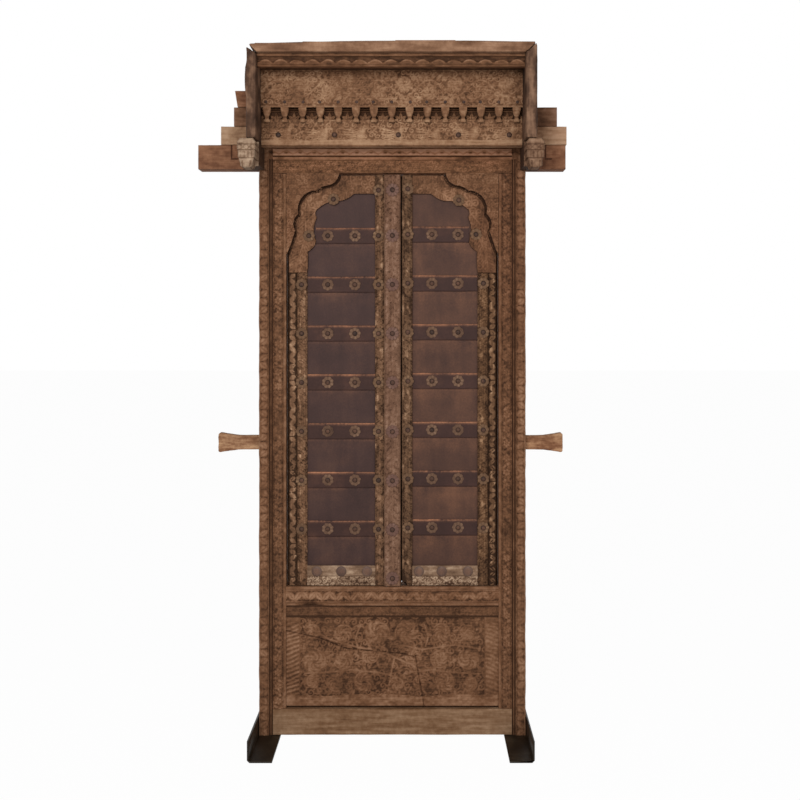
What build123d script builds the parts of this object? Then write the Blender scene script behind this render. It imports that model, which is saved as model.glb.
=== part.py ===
"""Carved wooden window frame with an iron-clad pair of leaves, a box hood and two steel feet.

Millimetres, +Z up, +X to the right seen from outside, the outside faces -Y.
The origin is on the floor under the middle of the whole piece; Y = 0 is the front face of the jambs.
"""

import os
from math import cos, hypot, pi, radians, sin

from build123d import *

os.makedirs("parts", exist_ok=True)

# Driving dimensions: frame
frame_width = 804
frame_depth = 90
jamb_width = 82
foot_plate = 5
bottom_rail_height = 79
panel_height = 309
sill_height = 57
leaf_height = 1238
leaf_gap_below = 2
leaf_gap_above = 5
head_height = 75

# Driving dimensions: lintel and the stepped timbers on it
tongue_thickness = 24
beam_depth = 80
beam_height = 77
beam_lift = 10
beam_left_reach = 587
beam_right_reach = 523
course_heights = (56, 58, 50)
course_left_reaches = (518, 479, 476)
course_right_reaches = (526, 497, 425)
course_corner = 7

# Driving dimensions: hood
hood_overhang = 15
hood_reach = 216
hood_height = 275
hood_board = 34
hood_top_thickness = 31
hood_corner_radius = 12
open_mitre = 9
frieze_thickness = 24
upper_frieze_setback = 111
lower_frieze_setback = 131
upper_frieze_height = 129
frieze_drop = 8
frieze_step = 5
carving_relief = 2
vine_waves = 5
vine_margin = 12
vine_swing = 24
vine_width = 6
flower_radius = 13
bird_count = 7
feather_width = 6
soffit_thickness = 18
scallop_height = 37
scallop_thickness = 34
scallop_setback = 16
scallop_count = 17
scallop_sides = 4
scallop_relief = 5
pendant_count = 15
pendant_width = 25
pendant_length = 54
pendant_depth = 20
pendant_margin = 5
arm_width = 55
arm_height = 85
finial_reach = 10
finial_length = 78

# Driving dimensions: spandrels and leaves
spandrel_front = 6
spandrel_thickness = 10
leaf_clearance = 2
side_gap = 7
leaf_depth = 40
arch_thickness = 10
stile_setback = 2
hanging_stile = 56
left_meeting_edge = -24.5
left_meeting_inner = 52
right_meeting_edge = 29
right_meeting_inner = 60
leaf_rail_height = 59
sheet_thickness = 2
back_board = 20
strap_height = 50
strap_thickness = 3
strap_count = 7
strap_end_gap = 0.5
top_nail_rise = 137
left_nail_inset = 10
right_nail_inset = 13.5
left_strap_drop = 183
right_strap_drop = 179
last_strap_rise = 170
batten_thickness = 12
batten_edge = 3
arch_gap = 5

# Driving dimensions: pivots
pivot_radius = 12
pivot_inset = 15
pivot_back = 14
pivot_length = 28
pivot_clearance = 0.8
pivot_end_gap = 3
heel_clearance = 1.8
meeting_clearance = 0.4
meeting_lean = 0.36
shoulder_gap = 2.5

# Driving dimensions: nails, feet and lugs
rosette_radius = 19
rosette_height = 4
boss_radius = 8
boss_height = 4
batten_rosette_radius = 21
frieze_nail_radius = 8
frieze_nail_height = 5
frieze_nail_shares = (-0.87, -0.44, 0.05, 0.51, 0.9)
bolt_neck = 6
bolt_length = 30
bolt_head_radius = 7
bolt_head_height = 3
foot_width = 71
foot_length = 470
foot_upstand = 62
left_lug_reach = 126
right_lug_reach = 114
lug_height = 882
lug_root = 44
lug_end = 62
lug_thickness = 36
lug_front = 30
lug_tenon = 25
lug_hollow = 4
lug_corner = 5

# Levels above the floor
bottom_rail_top = foot_plate + bottom_rail_height
panel_top = bottom_rail_top + panel_height
sill_top = panel_top + sill_height
leaf_bottom = sill_top + leaf_gap_below
leaf_top = leaf_bottom + leaf_height
head_bottom = leaf_top + leaf_gap_above
hood_base = head_bottom + head_height
beam_bottom = head_bottom + beam_lift
beam_top = beam_bottom + beam_height
hood_top = hood_base + hood_height
leaf_rail_top = leaf_bottom + leaf_rail_height
shoulder_bottom = leaf_top + shoulder_gap
left_first_strap = leaf_top - left_strap_drop
right_first_strap = leaf_top - right_strap_drop
strap_pitch = (leaf_height - left_strap_drop - last_strap_rise) / (strap_count - 1)

# Places across the frame, measured from its centre line
frame_x = (beam_left_reach - max(course_right_reaches + (beam_right_reach,))) / 2
half_width = frame_width / 2
half_opening = half_width - jamb_width
leaf_edge = half_opening - side_gap
stile_inner = leaf_edge - hanging_stile
pivot_x = leaf_edge - pivot_inset
hood_half = half_width + hood_overhang
hood_inner = hood_half - hood_board

# Planes front to back
spandrel_back = spandrel_front + spandrel_thickness
leaf_front = spandrel_back + leaf_clearance
stile_front = leaf_front + stile_setback
leaf_back = leaf_front + leaf_depth
sheet_front = leaf_front + arch_thickness
sheet_back = sheet_front + sheet_thickness
pivot_y = leaf_back - pivot_back
batten_front = stile_front - batten_thickness
beam_back = tongue_thickness + beam_depth
upper_frieze_front = upper_frieze_setback - hood_reach
lower_frieze_front = lower_frieze_setback - hood_reach
lower_frieze_back = lower_frieze_front + frieze_thickness
upper_frieze_bottom = hood_top - hood_top_thickness - upper_frieze_height

# Turning clearances: the heel by the jamb, and the furthest reach of the batten's corner
heel_radius = half_opening - heel_clearance - pivot_x
meeting_line = hypot(pivot_x - left_meeting_edge, pivot_y - batten_front - batten_edge) - pivot_x


def elevation(y):
    """Upright plane at depth y, seen from outside: an extrusion from it comes forward."""
    return Plane(origin=(frame_x, y, 0), x_dir=(1, 0, 0), z_dir=(0, -1, 0))


def block(x0, x1, z0, z1, front, back, mode=Mode.ADD):
    """Squared timber between two places across, two levels and two depths."""
    with Locations((frame_x + (x0 + x1) / 2, (front + back) / 2, (z0 + z1) / 2)):
        Box(abs(x1 - x0), back - front, z1 - z0, mode=mode)


def plate(outline, front, back, mode=Mode.ADD):
    """Board cut to a straight-sided outline seen from outside."""
    with BuildSketch(elevation(back)) as face:
        with BuildLine():
            Polyline(*outline, close=True)
        make_face()
    extrude(face.sketch, amount=back - front, mode=mode)


def moulding(profile, x0, x1):
    """Moulding that runs across: profile points are (depth, level)."""
    run = Plane(origin=(frame_x + x0, 0, 0), x_dir=(0, 1, 0), z_dir=(1, 0, 0))
    with BuildSketch(run) as section:
        with BuildLine():
            Polyline(*profile, close=True)
        make_face()
    extrude(section.sketch, amount=x1 - x0)


def bulged(start, end, bulge):
    """Arc from start to end that stands out by bulge to the left of the way there."""
    chord = Vector(*end) - Vector(*start)
    left = Vector(-chord.Y, chord.X).normalized()
    middle = (Vector(*start) + Vector(*end)) / 2 + left * bulge
    ThreePointArc(start, middle, end)


def foils(points, bulges, side):
    """Row of arcs through points given from the opening's upper corner, for one side."""
    ends = [corner_point(point, side) for point in points]
    for start, end, bulge in zip(ends, ends[1:], bulges):
        bulged(start, end, -side * bulge)
    return ends


def corner_point(point, side):
    """Point given inwards and upwards from the opening's upper corner on one side."""
    inwards, upwards = point
    return (side * (half_opening - inwards), head_bottom + upwards)


def heads(places, y, radius, height, sides=6):
    """Forged heads with a few sides standing forward of depth y."""
    with BuildSketch(elevation(y)) as outline:
        with Locations(*places):
            RegularPolygon(radius, sides)
    extrude(outline.sketch, amount=height)


def rosettes(places, y, radius):
    """Eight-sided washers with a nail in the middle, standing forward of depth y."""
    heads(places, y, radius, rosette_height, sides=8)
    heads(places, y - rosette_height, boss_radius, boss_height)


def ribbon(points, width, front, back):
    """Raised band of one width along a row of points."""
    upper, lower = [], []
    for before, point, after in zip(points[:1] + points[:-1], points, points[1:] + points[-1:]):
        along = (Vector(*after) - Vector(*before)).normalized()
        across = Vector(-along.Y, along.X) * (width / 2)
        upper.append((point[0] + across.X, point[1] + across.Y))
        lower.append((point[0] - across.X, point[1] - across.Y))
    plate(upper + lower[::-1], front, back)


def save(piece, name):
    """Labels a finished piece and writes it under its own name."""
    piece.part.label = name
    export_step(piece.part, f"parts/{name}.step")


# Jambs

# Section of a jamb's face: (distance in from the outer side, depth)
band_width = 31
groove_width = 12
lip_width = 8
bead_width = 5
band_edge = 3
groove_depth = 9
inner_band_depth = 2
inner_band_start = band_width + groove_width
inner_band_end = jamb_width - lip_width
bead_start = band_width + (groove_width - bead_width) / 2
jamb_section = (
    (0, band_edge),
    (band_edge, 0),
    (band_width - band_edge, 0),
    (band_width, band_edge),
    (band_width, groove_depth),
    (bead_start, groove_depth),
    (bead_start + 1, groove_depth - band_edge),
    (bead_start + bead_width - 1, groove_depth - band_edge),
    (bead_start + bead_width, groove_depth),
    (inner_band_start, groove_depth),
    (inner_band_start, inner_band_depth + band_edge),
    (inner_band_start + band_edge, inner_band_depth),
    (inner_band_end - band_edge, inner_band_depth),
    (inner_band_end, inner_band_depth + band_edge),
    (inner_band_end, groove_depth),
    (jamb_width, groove_depth + 1),
    (jamb_width, frame_depth),
    (0, frame_depth),
)
bottom_rail_lap = 30
lapped_half = half_width - inner_band_start


def jamb(name, side):
    """Jamb with its moulded face, the notch for the lintel, the laps and the lug's mortise."""
    with BuildPart() as piece:
        with BuildSketch(Plane.XY.offset(foot_plate)):
            with BuildLine():
                Polyline(*[(frame_x + side * (half_width - x), y) for x, y in jamb_section], close=True)
            make_face()
        extrude(amount=hood_base - foot_plate)
        inner, outer = side * half_opening, side * half_width
        block(inner, outer, beam_bottom, hood_base, tongue_thickness, frame_depth, Mode.SUBTRACT)
        lap = side * lapped_half
        block(inner, lap, foot_plate, bottom_rail_top, 0, bottom_rail_lap, Mode.SUBTRACT)
        block(inner, lap, head_bottom, hood_base, 0, tongue_thickness, Mode.SUBTRACT)
        half_root = lug_root / 2
        lug_low, lug_high = lug_height - half_root, lug_height + half_root
        mortise = side * (half_width - lug_tenon)
        block(mortise, outer, lug_low, lug_high, lug_front, lug_front + lug_thickness, Mode.SUBTRACT)
        bolt_necks(side, half_width - bolt_length, half_width, Mode.SUBTRACT)
    save(piece, name)


# Steel feet

bolt_level = foot_plate + 30
bolt_depths = (frame_depth * 0.25, frame_depth * 0.75)
foot_bend = 7


def bolt_necks(side, x0, x1, mode=Mode.ADD):
    """Square necks of the two bolts of one foot, or the square holes for them."""
    half = bolt_neck / 2
    for y in bolt_depths:
        block(side * x0, side * x1, bolt_level - half, bolt_level + half, y - half, y + half, mode)


def foot(name, side):
    """Steel angle bent from one strip: sole under the jamb, upstand against its outer side."""
    outer = side * (half_width + foot_plate)
    inner = outer - side * foot_width
    heel = Plane(origin=(frame_x, foot_length / 2, 0), x_dir=(1, 0, 0), z_dir=(0, -1, 0))
    with BuildPart() as piece:
        with BuildSketch(heel):
            with BuildLine():
                Polyline(
                    (inner, 0),
                    (outer - side * foot_bend, 0),
                    (outer, foot_bend),
                    (outer, foot_upstand),
                    (outer - side * foot_plate, foot_upstand),
                    (outer - side * foot_plate, foot_plate),
                    (inner, foot_plate),
                    close=True,
                )
            make_face()
        extrude(amount=foot_length)
        bolt_necks(side, half_width, half_width + foot_plate, Mode.SUBTRACT)
    save(piece, name)


def make_foot_screws():
    """Four square-necked bolts through the upstands into the jambs."""
    with BuildPart() as piece:
        for side in (-1, 1):
            outer = half_width + foot_plate
            with BuildSketch(Plane.YZ.offset(frame_x + side * outer)) as caps:
                with Locations(*[(y, bolt_level) for y in bolt_depths]):
                    RegularPolygon(bolt_head_radius, 6)
            extrude(caps.sketch, amount=side * bolt_head_height)
            bolt_necks(side, half_width - bolt_length, outer)
    save(piece, "foot_screws")


# Wall lugs


def wall_lug(name, side, reach):
    """Fishtail lug that widens to its outer end, with a tenon in the jamb."""
    root = side * half_width
    tip = side * (half_width + reach)
    half_root = lug_root / 2
    half_end = lug_end / 2
    with BuildPart() as piece:
        with BuildSketch(elevation(lug_front + lug_thickness)):
            with BuildLine():
                waist = (root + tip) / 2
                half_waist = (half_root + half_end) / 2 - lug_hollow
                upper = [(root, half_root), (waist, half_waist), (tip, half_end)]
                lower = [(x, -z) for x, z in reversed(upper)]
                Polyline(*[(x, lug_height + z) for x, z in upper + lower], close=True)
            make_face()
        extrude(amount=lug_thickness)
        corners = piece.edges().filter_by(Axis.Y).sort_by(Axis.X, reverse=side > 0)[:2]
        chamfer(corners, length=lug_corner)
        tenon = side * (half_width - lug_tenon)
        low, high = lug_height - half_root, lug_height + half_root
        block(tenon, root, low, high, lug_front, lug_front + lug_thickness)
    save(piece, name)


# Lintel beam and the stepped timbers stacked on it


def make_lintel_beam():
    """Long beam in the notches of the jambs, with a shoulder between them bored for the pivots."""
    with BuildPart() as piece:
        block(-beam_left_reach, beam_right_reach, beam_bottom, beam_top, tongue_thickness, beam_back)
        block(-half_opening, half_opening, shoulder_bottom, beam_bottom, tongue_thickness, beam_back)
        bore_depth = beam_bottom - shoulder_bottom + pivot_length + pivot_end_gap
        with Locations(*[(frame_x + side * pivot_x, pivot_y, shoulder_bottom) for side in (-1, 1)]):
            Cylinder(
                pivot_radius + pivot_clearance,
                bore_depth,
                align=(Align.CENTER, Align.CENTER, Align.MIN),
                mode=Mode.SUBTRACT,
            )
    save(piece, "lintel_beam")


def make_courses():
    """Three stepped timbers, each shorter than the one below, with worn upper corners."""
    level = beam_top
    names = ("lower_course", "middle_course", "upper_course")
    for name, height, left, right in zip(names, course_heights, course_left_reaches, course_right_reaches):
        with BuildPart() as piece:
            block(-left, right, level, level + height, tongue_thickness, beam_back)
            top_ends = piece.edges().filter_by(Axis.Y).group_by(Axis.Z)[-1]
            chamfer(top_ends, length=course_corner)
        save(piece, name)
        level += height


# Head rail with its zigzag


zigzag_count = 17
zigzag_height = 25
zigzag_relief = 3
zigzag_gap = 2
head_face = 6
head_low_face = 9
fillet_face = 2
fillet_height = 9


def make_head_rail():
    """Head moulding lapped over the jambs: zigzag band, projecting fillet, plain lower band."""
    zigzag_low = hood_base - zigzag_height - 5
    fillet_low = zigzag_low - fillet_height
    back = tongue_thickness
    profile = (
        (back, head_bottom),
        (head_low_face, head_bottom),
        (head_low_face, fillet_low),
        (fillet_face, fillet_low),
        (fillet_face, zigzag_low - 2),
        (head_face, zigzag_low),
        (head_face, hood_base),
        (back, hood_base),
    )
    pitch = 2 * lapped_half / zigzag_count
    with BuildPart() as piece:
        moulding(profile, -lapped_half, lapped_half)
        for index in range(zigzag_count):
            middle = -lapped_half + (index + 0.5) * pitch
            foot_half = (pitch - zigzag_gap) / 2
            triangle = (
                (middle - foot_half, zigzag_low),
                (middle + foot_half, zigzag_low),
                (middle, zigzag_low + zigzag_height),
            )
            plate(triangle, head_face - zigzag_relief, head_face)
    save(piece, "head_rail")


# Rails and panel under the leaves

sill_front = 6
sill_band = 9
sill_lip = 7
panel_front = 16
panel_thickness = 20
panel_cap = 27
panel_field_depth = 4
panel_border = 40
panel_foot = 31
patch_seam = 1.5
patch_hold = 6

# Broken edge of the panel from the left jamb: (distance from the jamb, drop from the panel's top)
patch_edge = ((0, 77), (105, 101), (180, 131), (345, 146), (390, 157), (415, panel_height))

# Carved rings of the panel, on both sides: (distance from the middle, drop from the top, radius)
panel_rings = ((46, 78, 34), (228, 162, 34), (146, 166, 27), (84, 232, 27))
ring_width = 7
ring_sides = 8


def make_sill_rail():
    """Rail under the leaves, moulded in front and bored on top for the lower pivots."""
    profile = (
        (frame_depth, panel_top),
        (sill_band + 3, panel_top),
        (sill_band + 3, panel_top + sill_lip),
        (sill_front, panel_top + sill_lip + 3),
        (sill_band, panel_top + sill_lip + 5),
        (sill_band, sill_top - sill_lip - 3),
        (sill_front, sill_top - sill_lip),
        (sill_front, sill_top - 1),
        (sill_front + 1, sill_top),
        (frame_depth, sill_top),
    )
    with BuildPart() as piece:
        moulding(profile, -half_opening, half_opening)
        bore_depth = pivot_length - leaf_gap_below + pivot_end_gap
        with Locations(*[(frame_x + side * pivot_x, pivot_y, sill_top) for side in (-1, 1)]):
            Cylinder(
                pivot_radius + pivot_clearance,
                bore_depth,
                align=(Align.CENTER, Align.CENTER, Align.MAX),
                mode=Mode.SUBTRACT,
            )
    save(piece, "sill_rail")


def make_bottom_rail():
    """Rail lapped over the inner bands of the jambs."""
    with BuildPart() as piece:
        block(-lapped_half, lapped_half, foot_plate, bottom_rail_top, 3, bottom_rail_lap)
        block(-half_opening, half_opening, foot_plate, bottom_rail_top, bottom_rail_lap, frame_depth)
        front_edges = piece.edges().filter_by(Axis.X).group_by(Axis.Y)[0]
        chamfer(front_edges, length=2)
    save(piece, "bottom_rail")


def panel_board():
    """Whole carved board: sunk field, cap moulding, ridged side borders and plain foot strip."""
    back = panel_front + panel_thickness
    field_low = bottom_rail_top + panel_foot
    field_high = panel_top - panel_cap - 8
    field_half = half_opening - panel_border
    block(-half_opening, half_opening, bottom_rail_top, panel_top, panel_front, back)
    block(-half_opening, half_opening, panel_top - panel_cap, panel_top - 6, panel_front - 4, panel_front)
    floor = panel_front + panel_field_depth
    block(-field_half, field_half, field_low, field_high, panel_front, floor, Mode.SUBTRACT)
    for side in (-1, 1):
        for middle, drop, radius in panel_rings:
            with BuildSketch(elevation(floor)) as ring:
                with Locations((side * middle, panel_top - drop)):
                    RegularPolygon(radius, ring_sides)
                    RegularPolygon(radius - ring_width, ring_sides, mode=Mode.SUBTRACT)
            extrude(ring.sketch, amount=panel_field_depth - 1)


def patch_outline(seam):
    """Broken-off lower left piece: its edge runs down from the left and drops near the middle."""
    edge = [(x - half_opening, panel_top - drop + seam) for x, drop in patch_edge[:-1]]
    foot = patch_edge[-1][0] - half_opening + seam
    return (*edge, (foot, bottom_rail_top), (-half_opening, bottom_rail_top))


def make_panel():
    """Carved board under the sill and the piece broken off it: the seam gapes in front only."""
    back = panel_front + panel_thickness
    with BuildPart() as piece:
        panel_board()
        plate(patch_outline(patch_seam), panel_front - 10, back - patch_hold, Mode.SUBTRACT)
        plate(patch_outline(0), panel_front - 10, back, Mode.SUBTRACT)
    save(piece, "lower_panel")
    with BuildPart() as patch:
        panel_board()
        plate(patch_outline(0), panel_front - 10, back, Mode.INTERSECT)
    save(patch, "panel_patch")


# Cusped arch: points are (inwards, upwards) from the opening's upper corner

spandrel_points = ((160, 0), (126, -38), (92, -53), (38, -123), (28, -172), (0, -250))
spandrel_bulges = (9, -3, -22, -10, 2)
arch_points = ((204, -62), (160, -84), (97, -106), (93, -132), (90, -204), (65, -236), (63, -300))
arch_bulges = (4, -7, -7, -8, 5, 2)
left_arch_rosette = (142, -78)
right_arch_rosette = (120, -81)


def spandrel(name, side):
    """Corner piece in front of the leaf, with a row of foils and cusps along its edge."""
    with BuildPart() as piece:
        with BuildSketch(elevation(spandrel_back)):
            with BuildLine():
                ends = foils(spandrel_points, spandrel_bulges, side)
                Polyline(ends[-1], corner_point((0, 0), side), ends[0])
            make_face()
        extrude(amount=spandrel_thickness)
    save(piece, name)


def arch_piece(name, side, meeting):
    """Upper corner of a leaf: cusped on both sides, lapped over the stile and the iron sheet."""
    edge = half_opening - leaf_edge
    inner = half_opening - meeting
    foot_level = arch_points[-1][1]
    with BuildPart() as piece:
        with BuildSketch(elevation(sheet_front)):
            with BuildLine():
                ends = foils(arch_points, arch_bulges, side)
                Polyline(
                    ends[-1],
                    corner_point((edge, foot_level), side),
                    corner_point((edge, -leaf_gap_above), side),
                    corner_point((inner, -leaf_gap_above), side),
                    corner_point((inner, arch_points[0][1]), side),
                    ends[0],
                )
            make_face()
        extrude(amount=arch_thickness)
        with BuildSketch(elevation(sheet_front - 2)):
            with BuildLine():
                shifted = [(x + arch_gap, z - arch_gap) for x, z in spandrel_points]
                ends = foils(shifted, spandrel_bulges, side)
                Polyline(
                    ends[-1],
                    corner_point((0, shifted[-1][1]), side),
                    corner_point((0, 0), side),
                    corner_point((shifted[0][0], 0), side),
                    ends[0],
                )
            make_face()
        extrude(amount=arch_thickness, mode=Mode.SUBTRACT)
    save(piece, name)


# Leaves


def strap_levels(first):
    """Middle of each strap, from the top one down."""
    return [first - index * strap_pitch for index in range(strap_count)]


def heel(side):
    """Rounded edge beside the jamb: it keeps its clearance while the leaf turns."""
    turns = [radians(turn) for turn in (-42, -21, 0, 21, 42)]
    rim = [(side * (pivot_x + heel_radius * cos(t)), pivot_y + heel_radius * sin(t)) for t in turns]
    root = side * pivot_x
    outline = [(root, rim[0][1]), *rim, (root, rim[-1][1])]
    with BuildSketch(Plane.XY.offset(leaf_bottom)) as section:
        with BuildLine():
            Polyline(*[(frame_x + x, y) for x, y in outline], close=True)
        make_face()
    extrude(section.sketch, amount=leaf_height)


def hanging_stile_piece(name, side):
    """Outer stile with a carved strip along its edge and a round wooden pivot at each end."""
    arch_foot = head_bottom + arch_points[-1][1]
    strip = leaf_edge - 23
    with BuildPart() as piece:
        outer, inner = side * leaf_edge, side * stile_inner
        block(inner, outer, leaf_bottom, arch_foot, stile_front, leaf_back)
        block(inner, outer, arch_foot, leaf_top, sheet_front, leaf_back)
        heel(side)
        block(side * strip, outer, leaf_bottom, arch_foot, stile_front, stile_front + 3, Mode.SUBTRACT)
        groove = side * (strip - 3)
        block(groove, side * strip, leaf_bottom, arch_foot, stile_front, stile_front + 6, Mode.SUBTRACT)
        pivot = (frame_x + side * pivot_x, pivot_y)
        with Locations((*pivot, leaf_top)):
            top_length = leaf_gap_above + beam_lift + pivot_length
            Cylinder(pivot_radius, top_length, align=(Align.CENTER, Align.CENTER, Align.MIN))
        with Locations((*pivot, leaf_bottom)):
            Cylinder(pivot_radius, pivot_length, align=(Align.CENTER, Align.CENTER, Align.MAX))
    save(piece, name)


# Corner lost from the foot of the right leaf: (across, rise from the foot)
lost_corner = ((20, 0), (44, 0), (39, 6), (31, 9), (20, 8))


def meeting_stile_piece(name, side, edge, inner, lip):
    """Stile at the free edge of a leaf, with a bevelled lip at the back that closes the gap."""
    root = side * inner
    section = ((root, pivot_y), (lip, pivot_y), (lip + meeting_lean, leaf_back), (root, leaf_back))
    with BuildPart() as piece:
        block(side * edge, root, leaf_bottom, leaf_top, stile_front, leaf_back)
        with BuildSketch(Plane.XY.offset(leaf_bottom)):
            with BuildLine():
                Polyline(*[(frame_x + x, y) for x, y in section], close=True)
            make_face()
        extrude(amount=leaf_height)
        if side > 0:
            outline = [(x, leaf_bottom + rise) for x, rise in lost_corner]
            plate(outline, stile_front, leaf_back, Mode.SUBTRACT)
    save(piece, name)


def leaf_bottom_rail(name, side, inner):
    """Bottom rail of a leaf: plain upper half for the nails, carved lower half."""
    middle = leaf_bottom + leaf_rail_height * 0.47
    with BuildPart() as piece:
        block(side * inner, side * stile_inner, leaf_bottom, leaf_rail_top, stile_front, leaf_back)
        block(side * inner, side * stile_inner, middle, middle + 2, stile_front, stile_front + 2, Mode.SUBTRACT)
    save(piece, name)


def back_boards(name, side, inner):
    """Two upright boards behind the iron sheet."""
    middle = (inner + stile_inner) / 2
    with BuildPart() as piece:
        for x0, x1 in ((inner, middle - 0.5), (middle + 0.5, stile_inner)):
            block(side * x0, side * x1, leaf_rail_top, leaf_top, sheet_back, sheet_back + back_board)
    save(piece, name)


def iron_sheet(name, side, inner):
    """Sheet nailed over the boards."""
    with BuildPart() as piece:
        block(side * inner, side * stile_inner, leaf_rail_top, leaf_top, sheet_front, sheet_back)
    save(piece, name)


def straps(prefix, side, inner, first):
    """Seven iron straps across the sheet, the top one stopping at the arch piece."""
    arch_end = half_opening - arch_points[3][0] - 8
    for number, level in enumerate(strap_levels(first), start=1):
        outer = arch_end if number == 1 else stile_inner - strap_end_gap
        low, high = level - strap_height / 2, level + strap_height / 2
        with BuildPart() as piece:
            x0, x1 = side * (inner + strap_end_gap), side * outer
            block(x0, x1, low, high, sheet_front - strap_thickness, sheet_front)
        save(piece, f"{prefix}_strap_{number}")


def leaf_rosettes(name, side, inner, first):
    """Petalled washers and nails of one leaf: on the straps, both stiles, the arch and the rail."""
    levels = strap_levels(first)
    width = stile_inner - inner
    on_straps = [(side * (inner + width * share), z) for z in levels for share in (0.30, 0.70)]
    stile_middle = inner - (left_nail_inset if side < 0 else right_nail_inset)
    hanging_middle = stile_inner + 17
    on_stiles = [(side * stile_middle, z) for z in levels]
    on_stiles += [(side * hanging_middle, z) for z in levels[2:]]
    on_arch = [
        (side * (hanging_middle - 22), levels[0]),
        (side * hanging_middle, levels[1]),
        (side * stile_middle, first + top_nail_rise),
        corner_point(left_arch_rosette if side < 0 else right_arch_rosette, side),
    ]
    rail_shares = (0.12, 0.5, 0.86) if side < 0 else (0.10, 0.45, 0.85)
    on_rail = [(side * (inner + width * share), leaf_bottom + leaf_rail_height * 0.72) for share in rail_shares]
    with BuildPart() as piece:
        rosettes(on_straps, sheet_front - strap_thickness, rosette_radius)
        rosettes(on_stiles, stile_front, rosette_radius * 0.9)
        rosettes(on_arch, leaf_front, rosette_radius * 0.9)
        heads(on_rail, stile_front, rosette_radius * 0.85, rosette_height)
    save(piece, name)


def make_batten():
    """Cover strip down the left leaf's free edge, with its own row of nails."""
    half = -left_meeting_edge
    levels = [left_first_strap + top_nail_rise, *strap_levels(left_first_strap)]
    levels.append(leaf_bottom + leaf_rail_height * 0.4)
    with BuildPart() as piece:
        block(-half, half, leaf_bottom, leaf_top, batten_front, stile_front)
        front_edges = piece.edges().filter_by(Axis.Z).group_by(Axis.Y)[0]
        chamfer(front_edges, length=batten_edge)
    save(piece, "batten")
    with BuildPart() as nails:
        rosettes([(0, z) for z in levels], batten_front, batten_rosette_radius)
    save(nails, "batten_rosettes")


# Hood

hood_sag = 6
hood_crown = 3

# Worn outer edge of the left side board: (wear, drop from the hood's top)
left_board_wear = ((4, 160), (0, 112), (3, 68), (6, 45), (3, 13))


def hood_outline(front, back):
    """Keeps what lies inside the hood's outer outline, round at its upper right corner."""
    with BuildSketch(elevation(back)) as face:
        with BuildLine():
            Polyline(
                (-hood_half, hood_top - hood_sag),
                (-hood_half, hood_base),
                (hood_half, hood_base),
                (hood_half, hood_top - hood_corner_radius),
            )
            corner = hood_corner_radius * (1 - 0.5**0.5)
            ThreePointArc(
                (hood_half, hood_top - hood_corner_radius),
                (hood_half - corner, hood_top - corner),
                (hood_half - hood_corner_radius, hood_top),
            )
            ThreePointArc(
                (hood_half - hood_corner_radius, hood_top),
                (0, hood_top + hood_crown),
                (-hood_half, hood_top - hood_sag),
            )
        make_face()
    extrude(face.sketch, amount=back - front, mode=Mode.INTERSECT)


def make_hood_boards():
    """Top and side boards mitred together, the left mitre standing open."""
    front, back = -hood_reach, tongue_thickness
    under = hood_top - hood_top_thickness
    over = hood_top + 10
    lean = hood_board / hood_top_thickness * (over - under)
    with BuildPart() as top:
        board = (
            (-hood_inner, under),
            (hood_inner, under),
            (hood_inner + lean, over),
            (-hood_inner - lean + open_mitre / 2, over),
        )
        plate(board, front, back)
        hood_outline(front, back)
    save(top, "hood_top_board")
    with BuildPart() as right:
        board = (
            (hood_inner, hood_base),
            (hood_half, hood_base),
            (hood_inner + lean, over),
            (hood_inner, under),
        )
        plate(board, front, back)
        hood_outline(front, back)
    save(right, "hood_right_board")
    with BuildPart() as left:
        with BuildSketch(elevation(back)):
            with BuildLine():
                worn = [(wear - hood_half, hood_top - drop) for wear, drop in left_board_wear]
                Polyline(
                    worn[-1],
                    (-hood_inner, under - open_mitre / 4),
                    (-hood_inner, hood_base),
                    (worn[0][0], hood_base),
                    worn[0],
                )
                ThreePointArc(worn[0], worn[1], worn[2])
                ThreePointArc(worn[2], worn[3], worn[4])
            make_face()
        extrude(amount=back - front)
    save(left, "hood_left_board")


def make_hood_scallops():
    """Cornice under the top board: fillet, sunk band with a row of round scallops, lower bead."""
    top = hood_top - hood_top_thickness
    low = top - scallop_height
    front = scallop_setback - hood_reach
    back = front + scallop_thickness
    band = front + 12
    band_low = low + 6
    band_high = top - 8
    profile = (
        (back, low),
        (front + 6, low),
        (front + 4, low + 3),
        (front + 6, band_low),
        (band, band_low),
        (band, band_high),
        (front, band_high),
        (front, top),
        (back, top),
    )
    pitch = 2 * hood_inner / scallop_count
    half = pitch / 2 - 1
    rise = band_high - 2 - band_low
    turns = [step * 180 / scallop_sides for step in range(scallop_sides + 1)]
    with BuildPart() as piece:
        moulding(profile, -hood_inner, hood_inner)
        for index in range(scallop_count):
            middle = -hood_inner + (index + 0.5) * pitch
            scallop = [(middle + half * cos(radians(t)), band_low + rise * sin(radians(t))) for t in turns]
            plate(scallop, band - scallop_relief, band)
    save(piece, "hood_scallops")


def vine(middle, front, back):
    """Waving stem along the upper frieze with a flower in each bend."""
    span = 2 * (hood_inner - vine_margin)
    steps = vine_waves * 4
    stem = []
    for step in range(steps + 1):
        x = -span / 2 + span * step / steps
        stem.append((x, middle + vine_swing * sin(step * pi / 2)))
    ribbon(stem, vine_width, front, back)
    flowers = [(x, middle + middle - z) for x, z in stem[1::2]]
    heads(flowers, back, flower_radius, back - front)


def bird(x, level, front, back):
    """Bird of the lower frieze: round body with a head, and a fan of three tail feathers."""
    body = ((0, -22), (13, -18), (19, 2), (12, 14), (20, 20), (10, 29), (0, 20), (-4, 0))
    plate([(x + dx, level + dz) for dx, dz in body], front, back)
    for rise in (-1, 0, 1):
        root = (x - 9, level + rise * 8)
        tip = (x - 50, level + rise * 18)
        ribbon([root, tip], feather_width, front, back)


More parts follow.
